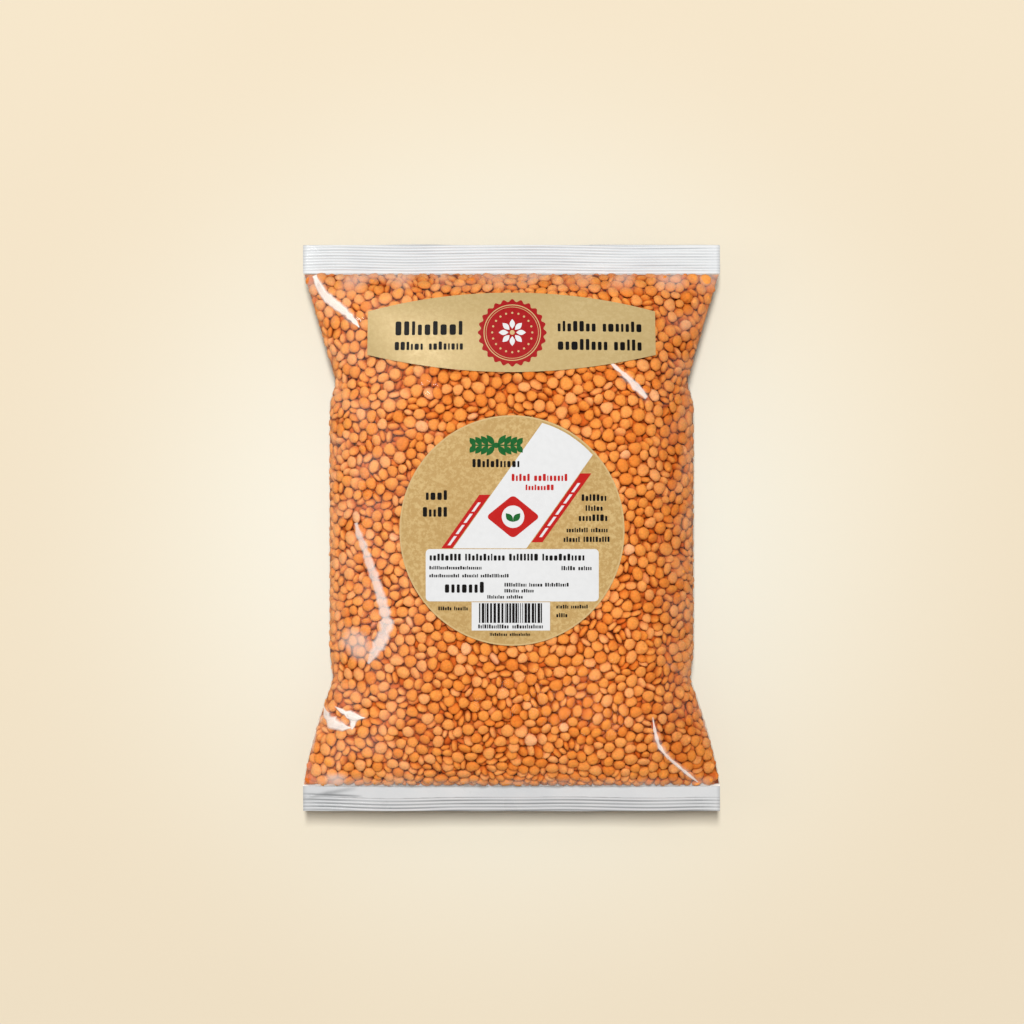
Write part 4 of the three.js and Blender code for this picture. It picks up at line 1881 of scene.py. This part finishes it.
def leaf(bm: bmesh.types.BMesh, x: float, y: float, length: float, width: float, angle: float) -> None:
    """Add a flat pointed leaf that grows from a point.

    Args:
        bm: The bmesh.
        x: Its foot across the bag.
        y: Its foot along the bag.
        length: Its length.
        width: Its width.
        angle: The way it points, in degrees from +X.
    """
    rim = bmesh.ops.create_circle(bm, cap_ends=True, segments=28, radius=1.0)["verts"]
    for vert in rim:
        along = (vert.co.x + 1) / 2
        vert.co = Vector((along * length, vert.co.y * math.sin(along * math.pi) ** 0.6 * width / 2, 0))
    bmesh.ops.rotate(bm, verts=rim, cent=(0, 0, 0), matrix=Matrix.Rotation(math.radians(angle), 3, "Z"))
    bmesh.ops.translate(bm, verts=rim, vec=(x, y, 0))


@dataclass(frozen=True)
class Stock:
    """A paper or an ink, with the material slot that it belongs to."""

    material: bpy.types.Material
    slot: str


class Inks:
    """The papers and inks of both stickers."""

    def __init__(self) -> None:
        """Mix every one of them once."""
        banner = PaperFinish("banner_paper", tint(176, 153, 105), tint(183, 161, 114), tint(171, 147, 97))
        disc_paper = PaperFinish("round_paper", tint(174, 142, 88), tint(193, 165, 112), tint(167, 135, 82))
        rim = InkFinish("pale_gold_print", tint(181, 156, 110), tint(174, 147, 100))
        white = InkFinish("white_print", tint(195, 196, 197), tint(190, 191, 192))
        red = InkFinish("red_print", tint(162, 22, 20), tint(168, 30, 27))
        deep_red = InkFinish("deep_red_print", tint(140, 15, 19), tint(150, 22, 25))
        green = InkFinish("green_print", tint(18, 80, 34), tint(30, 92, 44))
        black = InkFinish("black_print", tint(12, 10, 9), tint(20, 18, 16))
        self.banner_paper = Stock(banner.material(), "gold_paper")
        self.round_paper = Stock(disc_paper.material(), "gold_paper")
        self.rim = Stock(rim.material(), "gold_paper")
        self.white = Stock(white.material(), "white_print")
        self.red = Stock(red.material(), "red_print")
        self.deep_red = Stock(deep_red.material(), "red_print")
        self.green = Stock(green.material(), "green_print")
        self.black = Stock(black.material(), "black_print")


class Level(Enum):
    """Where a sheet lies: its underside's height over the film, and its thickness."""

    PAPER = (0.14, 0.26)
    INK = (0.41, 0.06)
    OVERPRINT = (0.475, 0.05)
    EMBLEM = (0.535, 0.05)
    EMBLEM_MARK = (0.595, 0.05)


@dataclass
class Sticker:
    """A base for both stickers, which lays their sheets and ties them to the bag."""

    draper: Draper
    inks: Inks

    @property
    def form(self) -> BagForm:
        """The form that the sticker lies on."""
        return self.draper.form

    def sheet(self, name: str, plan: Plan, level: Level, stock: Stock, *nodes: str) -> None:
        """Draw a plan, lay it on the face and tie it to the bag.

        Args:
            name: The piece's name.
            plan: What draws the flat outline.
            level: Where it lies.
            stock: Its paper or ink.
            nodes: The CAD nodes that it stands for.
        """
        bm = bmesh.new()
        plan(bm)
        register(self.draper.lay(name, bm, *level.value, stock.material), stock.slot, *nodes)

    def words(self, name: str, rows: tuple[Bar, ...], level: Level, stock: Stock) -> None:
        """Lay all word bars of one ink as one sheet.

        Args:
            name: The piece's name.
            rows: The word bars.
            level: Where they lie.
            stock: Their ink.
        """

        def draw(bm: bmesh.types.BMesh) -> None:
            """Draw the blocks of every bar."""
            for bar in rows:
                bar.word(bm)

        self.sheet(name, draw, level, stock)


@dataclass
class BannerSticker(Sticker):
    """The arched gold banner, its word bars and the red scalloped badge."""

    badge_x: float = 0.3
    badge_y: float = 77.1
    badge_radius: float = 13.0
    teeth: int = 24
    tooth: float = 0.045
    ring_radii: tuple[tuple[float, float], ...] = ((10.95, 11.3), (10.2, 10.4))
    petals: int = 8
    petal_foot: float = 1.5
    petal_length: float = 3.9
    petal_width: float = 2.1
    eye: float = 0.95
    dots: int = 20
    dot: float = 0.42
    dots_radius: float = 7.9
    black_words: tuple[Bar, ...] = bars(
        (76.2, 81.8, -46.4, -18.8),
        (70.3, 73.6, -46.4, -34.6, -32.8, -18.8),
        (77.6, 81.8, 17.8, 33.6, 35.6, 51.8),
        (70.2, 74.6, 17.8, 38.2, 40.0, 51.8),
    )

    def outline(self, bm: bmesh.types.BMesh) -> None:
        """Draw the banner's outline.

        Args:
            bm: The bmesh that it goes into.
        """
        form = self.form
        made = bmesh.ops.create_grid(bm, x_segments=46, y_segments=12, size=1.0)["verts"]
        for vert in made:
            half = form.banner_middle + (form.banner_end - form.banner_middle) * vert.co.x**2
            vert.co = Vector((vert.co.x * form.banner_half, form.banner_y + vert.co.y * half, 0))

    def badge(self, bm: bmesh.types.BMesh) -> None:
        """Draw the scalloped disc.

        Args:
            bm: The bmesh that it goes into.
        """
        for vert in disc(bm, 0, 0, self.badge_radius, self.teeth * 8):
            angle = math.atan2(vert.co.y, vert.co.x)
            vert.co *= 1 + self.tooth * math.cos(angle * self.teeth)
        bmesh.ops.translate(bm, verts=bm.verts, vec=(self.badge_x, self.badge_y, 0))

    def rings(self, bm: bmesh.types.BMesh) -> None:
        """Draw the two thin rings of the badge."""
        for inner, outer in self.ring_radii:
            ring(bm, self.badge_x, self.badge_y, inner, outer)

    def on_badge(self, angle: float, radius: float) -> tuple[float, float]:
        """Find the place on the badge at an angle in degrees and a distance from its middle."""
        turn = math.radians(angle)
        return self.badge_x + math.cos(turn) * radius, self.badge_y + math.sin(turn) * radius

    def flower(self, bm: bmesh.types.BMesh) -> None:
        """Draw the petals in the badge's middle."""
        for number in range(self.petals):
            angle = 360 * number / self.petals
            leaf(bm, *self.on_badge(angle, self.petal_foot), self.petal_length, self.petal_width, angle)

    def beads(self, bm: bmesh.types.BMesh) -> None:
        """Draw the ring of small dots and the flower's eye."""
        for number in range(self.dots):
            disc(bm, *self.on_badge(360 * number / self.dots, self.dots_radius), self.dot, 12)
        disc(bm, self.badge_x, self.badge_y, self.eye, 20)

    def build(self) -> None:
        """Build the banner and everything on it."""
        inks = self.inks
        self.sheet("banner_paper", self.outline, Level.PAPER, inks.banner_paper, "banner_sticker")
        self.sheet("badge_disc", self.badge, Level.INK, inks.deep_red, "banner_badge")
        self.sheet("badge_rings", self.rings, Level.OVERPRINT, inks.rim)
        self.sheet("badge_flower", self.flower, Level.OVERPRINT, inks.white)
        self.sheet("badge_beads", self.beads, Level.OVERPRINT, inks.rim)
        self.words("banner_words", self.black_words, Level.INK, inks.black)


@dataclass
class RoundSticker(Sticker):
    """The round gold sticker with its diagonal band, stripes, panels, leafy sprig and emblem."""

    info: Bar = Bar(-33.6, 34.2, -28.6, -8.1)
    info_corner: float = 1.6
    code: Bar = Bar(-15.6, 15.1, -40.0, -28.9)
    slope: float = 0.71
    gap: float = 0.3
    foot_left: float = -23.1
    foot_right: float = 5.6
    stripe: float = 4.3
    left_top: float = 13.2
    right_low: float = -5.4
    right_high: float = 21.6
    dash: float = 3.6
    dash_half: float = 0.55
    dash_gap: float = 0.8
    rim: float = 1.3
    edge_line: tuple[float, float] = (0.985, 0.998)
    sprig_x: float = -6.0
    sprig_y: float = 32.6
    stem_half: float = 9.6
    leaf_angle: float = 52.0
    emblem_x: float = 0.6
    emblem_y: float = 4.6
    emblem_disc: float = 4.4
    black_words: tuple[Bar, ...] = bars(
        (11.2, 15.0, -33.9, -24.9),
        (4.6, 8.4, -35.1, -24.9),
        (10.8, 13.4, 27.2, 37.4),
        (6.9, 9.1, 28.8, 35.9),
        (2.9, 5.5, 26.1, 37.8),
        (-1.5, 0.3, 21.4, 30.0, 31.0, 37.8),
        (-5.3, -3.2, 20.2, 26.9, 28.0, 38.6),
        (-32.1, -30.6, -28.8, -23.4, -22.6, -17.0),
        (-31.4, -29.9, 17.4, 22.4, 23.2, 30.0),
        (-34.8, -33.2, 17.4, 22.0),
        (-42.1, -40.9, -8.6, -1.6, -0.8, 7.4),
        (24.0, 27.2, -15.6, 3.4),
    )
    info_words: tuple[Bar, ...] = bars(
        (-12.6, -9.9, -32.3, -19.6, -18.4, -2.4, -1.2, 10.6, 11.8, 28.8),
        (-16.1, -14.7, -32.3, -11.6),
        (-19.2, -17.8, -32.3, -20.4, -19.4, -13.0, -12.2, -1.0),
        (-16.4, -14.7, 19.4, 25.0, 26.0, 31.5),
        (-25.2, -20.9, -26.5, -10.4),
        (-22.8, -21.3, -2.9, 6.0, 6.8, 12.2, 13.0, 22.5),
        (-25.1, -23.7, -2.9, 3.0, 3.8, 8.8),
        (-27.5, -26.1, -9.6, -2.8, -2.0, 4.5),
        (-39.2, -37.6, -13.2, -1.0, 0.2, 12.4),
    )
    red_words: tuple[Bar, ...] = bars(
        (18.6, 21.4, -0.2, 7.4, 8.6, 22.1),
        (15.0, 17.2, 5.3, 16.7),
    )

    def slanted(self, left: float, right: float, low: float, high: Callable[[float], float]) -> Plan:
        """Plan a diagonal strip that stands on the info panel's top edge.

        Args:
            left: The left foot.
            right: The right foot.
            low: The strip's lower end.
            high: The strip's upper end above each foot.

        Returns:
            What draws it.
        """

        def draw(bm: bmesh.types.BMesh) -> None:
            """Draw the strip.

            Args:
                bm: The bmesh that it goes into.
            """
            for vert in bmesh.ops.create_grid(bm, x_segments=10, y_segments=12, size=1.0)["verts"]:
                foot = left + (right - left) * (vert.co.x + 1) / 2
                y = low + (high(foot) - low) * (vert.co.y + 1) / 2
                vert.co = Vector((foot + (y - self.info.high) * self.slope, y, 0))

        return draw

    def rim_above(self, foot: float) -> float:
        """Find how high a slanted edge reaches before it meets the sticker's rim.

        Args:
            foot: Where the edge stands on the info panel's top edge.

        Returns:
            How far along the bag it reaches.
        """
        form, high, step = self.form, self.info.high, 0.05

        def inside(y: float) -> bool:
            """Tell whether the edge is still inside the rim at y."""
            x = foot + (y - self.info.high) * self.slope
            across = (x - form.round_x) / (form.round_half_width - self.rim)
            return math.hypot(across, (y - form.round_y) / (form.round_half_height - self.rim)) < 1

        while inside(high + step):
            high += step
        return high

    def stretch(self, bm: bmesh.types.BMesh) -> None:
        """Stretch a round of radius 1 to the sticker's size and put it in its place."""
        form = self.form
        bmesh.ops.scale(bm, verts=bm.verts, vec=(form.round_half_width, form.round_half_height, 1))
        bmesh.ops.translate(bm, verts=bm.verts, vec=(form.round_x, form.round_y, 0))

    def oval(self, bm: bmesh.types.BMesh) -> None:
        """Draw the round sticker's outline."""
        disc(bm, 0, 0, 1, 120)
        self.stretch(bm)

    def pale_line(self, bm: bmesh.types.BMesh) -> None:
        """Draw the thin pale line round the sticker."""
        ring(bm, 0, 0, *self.edge_line, 120)
        self.stretch(bm)

    def code_stripes(self, bm: bmesh.types.BMesh) -> None:
        """Draw the striped code: made-up widths and no digits.

        Args:
            bm: The bmesh that it goes into.
        """
        random = np.random.default_rng(9)
        x, end = self.code.left + 2.9, self.code.right - 3.1
        while x < end:
            width = float(random.choice([0.3, 0.3, 0.5, 0.8, 1.0]))
            Bar(x, min(x + width, end), -37.0, -29.3).block(bm)
            x += width + float(random.choice([0.25, 0.35, 0.55]))

    def sprig(self, bm: bmesh.types.BMesh) -> None:
        """Draw the plain garland of leaves near the top of the sticker.

        Args:
            bm: The bmesh that it goes into.
        """
        x, y = self.sprig_x, self.sprig_y
        Bar(x - self.stem_half, x + self.stem_half, y - 0.3, y + 0.3).block(bm)
        for side in (-1, 1):
            for number in range(4):
                foot, length = x + side * (0.6 + number * 2.5), 5.2 - number * 0.5
                for angle in (self.leaf_angle, -self.leaf_angle):
                    leaf(bm, foot, y, length, 2.3, angle if side > 0 else 180 - angle)
        disc(bm, x, y, 1.1, 20)

    def lozenge(self, bm: bmesh.types.BMesh) -> None:
        """Draw the red plate of the emblem.

        Args:
            bm: The bmesh that it goes into.
        """
        rim = bmesh.ops.create_circle(bm, cap_ends=True, segments=4, radius=1.0)["verts"]
        bmesh.ops.scale(bm, verts=rim, vec=(10.6, 8.6, 1))
        round_off(bm, rim, 1.6, 4)
        bmesh.ops.translate(bm, verts=bm.verts, vec=(self.emblem_x, self.emblem_y, 0))

    def emblem_round(self, bm: bmesh.types.BMesh) -> None:
        """Draw the white disc on the plate."""
        disc(bm, self.emblem_x, self.emblem_y, self.emblem_disc)

    def pair(self, bm: bmesh.types.BMesh) -> None:
        """Draw the two green leaves on the emblem's disc."""
        for angle in (50, 130):
            leaf(bm, self.emblem_x, self.emblem_y - 2, 4.4, 2.4, angle)

    def dashes(self, bm: bmesh.types.BMesh) -> None:
        """Draw the small white bars along both red stripes.

        Args:
            bm: The bmesh that it goes into.
        """
        aside = self.gap + self.stripe / 2
        runs = (
            (self.foot_left - aside, self.info.high + 1.5, self.left_top - 1.5),
            (self.foot_right + aside, self.right_low + 2, self.right_high - 2),
        )
        for foot, y, high in runs:
            while y + self.dash <= high:
                for vert in bmesh.ops.create_grid(bm, x_segments=1, y_segments=2, size=1.0)["verts"]:
                    rise = y + (vert.co.y + 1) / 2 * self.dash
                    x = foot + vert.co.x * self.dash_half + (rise - self.info.high) * self.slope
                    vert.co = Vector((x, rise, 0))
                y += self.dash + self.dash_gap

    def build(self) -> None:
        """Build the sticker and everything on it."""
        inks, low = self.inks, self.info.high + self.gap
        left, right = self.foot_left - self.gap, self.foot_right + self.gap
        band = self.slanted(self.foot_left, self.foot_right, low, self.rim_above)
        stripe_left = self.slanted(left - self.stripe, left, low, lambda foot: self.left_top)
        stripe_right = self.slanted(
            right, right + self.stripe, self.right_low, lambda foot: self.right_high
        )
        self.sheet("round_paper", self.oval, Level.PAPER, inks.round_paper, "round_sticker")
        self.sheet("round_edge_line", self.pale_line, Level.INK, inks.rim)
        self.sheet("diagonal_white", band, Level.INK, inks.white, "diagonal_band")
        self.sheet("stripe_left", stripe_left, Level.INK, inks.red, "left_stripe")
        self.sheet("stripe_right", stripe_right, Level.INK, inks.red, "right_stripe")
        panel = partial(self.info.block, corner=self.info_corner, steps=5)
        self.sheet("info_white", panel, Level.INK, inks.white, "info_panel")
        self.sheet("code_white", self.code.block, Level.INK, inks.white, "code_panel")
        self.sheet("code_stripes", self.code_stripes, Level.OVERPRINT, inks.black)
        self.sheet("stripe_dashes", self.dashes, Level.OVERPRINT, inks.white)
        self.sheet("leaf_sprig", self.sprig, Level.OVERPRINT, inks.green)
        self.sheet("emblem_plate", self.lozenge, Level.OVERPRINT, inks.red)
        self.sheet("emblem_disc", self.emblem_round, Level.EMBLEM, inks.white)
        self.sheet("emblem_leaves", self.pair, Level.EMBLEM_MARK, inks.green)
        self.words("round_words", self.black_words, Level.OVERPRINT, inks.black)
        self.words("info_words", self.info_words, Level.OVERPRINT, inks.black)
        self.words("red_words", self.red_words, Level.OVERPRINT, inks.red)


@dataclass(frozen=True)
class Lamp:
    """A soft oblong light that looks at the bag, all in metres and watts."""

    name: str
    place: tuple[float, float, float]
    width: float
    length: float
    power: float
    matt: bool
    shine: bool

    def build(self, colour: tuple[float, float, float]) -> None:
        """Hang the light.

        Args:
            colour: The colour of its light.
        """
        data = bpy.data.lights.new(self.name, "AREA")
        data.shape = "RECTANGLE"
        data.size, data.size_y = self.width, self.length
        data.energy, data.color = self.power, colour
        light = bpy.data.objects.new(self.name, data)
        light.visible_diffuse, light.visible_glossy = self.matt, self.shine
        light.location = self.place
        light.rotation_euler = (-Vector(self.place)).to_track_quat("-Z", "Y").to_euler()
        bpy.context.scene.collection.objects.link(light)


@dataclass
class Studio:
    """The floor, the lights and the camera, in metres. The frame is how much the camera sees across."""

    frame: float = 0.4126
    lens: float = 100.0
    sensor: float = 36.0
    face_level: float = 0.02
    aim_x: float = 0.0002
    aim_y: float = 0.00645
    floor_size: float = 6.0
    lamp_colour: tuple[float, float, float] = (1.0, 0.997, 0.995)
    room_colour: tuple[float, float, float] = (1.0, 0.96, 0.9)
    ambient: float = 0.4
    mirrored: float = 0.12
    lamps: tuple[Lamp, ...] = (
        Lamp("key", (-0.03, 0.62, 2.6), 0.25, 0.85, 82.0, True, False),
        Lamp("side", (-2.2, 0.1, 1.5), 0.9, 0.9, 4.0, True, True),
        Lamp("glint", (-0.45, 0.75, 1.0), 0.3, 0.3, 6.0, False, True),
        Lamp("low_glint", (0.35, -0.8, 1.3), 0.5, 0.5, 2.0, False, True),
    )

    def room(self) -> bpy.types.World:
        """Make the surrounding light, which is dimmer where it is mirrored.

        Returns:
            The world.
        """
        world = bpy.data.worlds.new("studio_world")
        world.use_nodes = True
        tree = world.node_tree
        ground = tree.nodes["Background"]
        ground.inputs["Color"].default_value = (*self.room_colour, 1)
        rays = tree.nodes.new("ShaderNodeLightPath")
        strength = tree.nodes.new("ShaderNodeMapRange")
        strength.inputs["To Min"].default_value = self.ambient
        strength.inputs["To Max"].default_value = self.mirrored
        tree.links.new(rays.outputs["Is Glossy Ray"], strength.inputs["Value"])
        tree.links.new(strength.outputs["Result"], ground.inputs["Strength"])
        return world

    def camera(self) -> bpy.types.Object:
        """Hang the camera straight over the bag.

        Returns:
            The camera.
        """
        data = bpy.data.cameras.new("photo_view")
        data.lens, data.sensor_width = self.lens, self.sensor
        camera = bpy.data.objects.new("photo_view", data)
        height = self.face_level + self.frame * self.lens / self.sensor
        camera.location = (self.aim_x, self.aim_y, height)
        bpy.context.scene.collection.objects.link(camera)
        return camera

    def build(self) -> None:
        """Build the studio."""
        bm = bmesh.new()
        bmesh.ops.create_grid(bm, x_segments=8, y_segments=8, size=self.floor_size / 2)
        mesh_object("studio_floor", bm, FloorFinish().material())
        for lamp in self.lamps:
            lamp.build(self.lamp_colour)
        scene = bpy.context.scene
        scene.world = self.room()
        scene.camera = self.camera()
        scene.view_settings.view_transform = "Standard"


def main() -> None:
    """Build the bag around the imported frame."""
    logging.basicConfig(level=logging.INFO, format="%(message)s")
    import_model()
    form = BagForm()
    packing = Packing(form)
    packing.settle()
    skin = FilmSkin(form)
    register(skin.build(), "clear_film", BAG_NODE)
    register(CreaseGlints(skin).build(), "clear_film")
    for piece in LentilBed(packing).build():
        register(piece, "lentils", BAG_NODE)
    register(LentilCore(form).build(), "lentils", BAG_NODE)
    for end in sealed_ends(form):
        register(end.build(), "white_film", BAG_NODE)
    draper, inks = Draper(form), Inks()
    BannerSticker(draper, inks).build()
    RoundSticker(draper, inks).build()
    Studio().build()


if __name__ == "__main__":
    main()
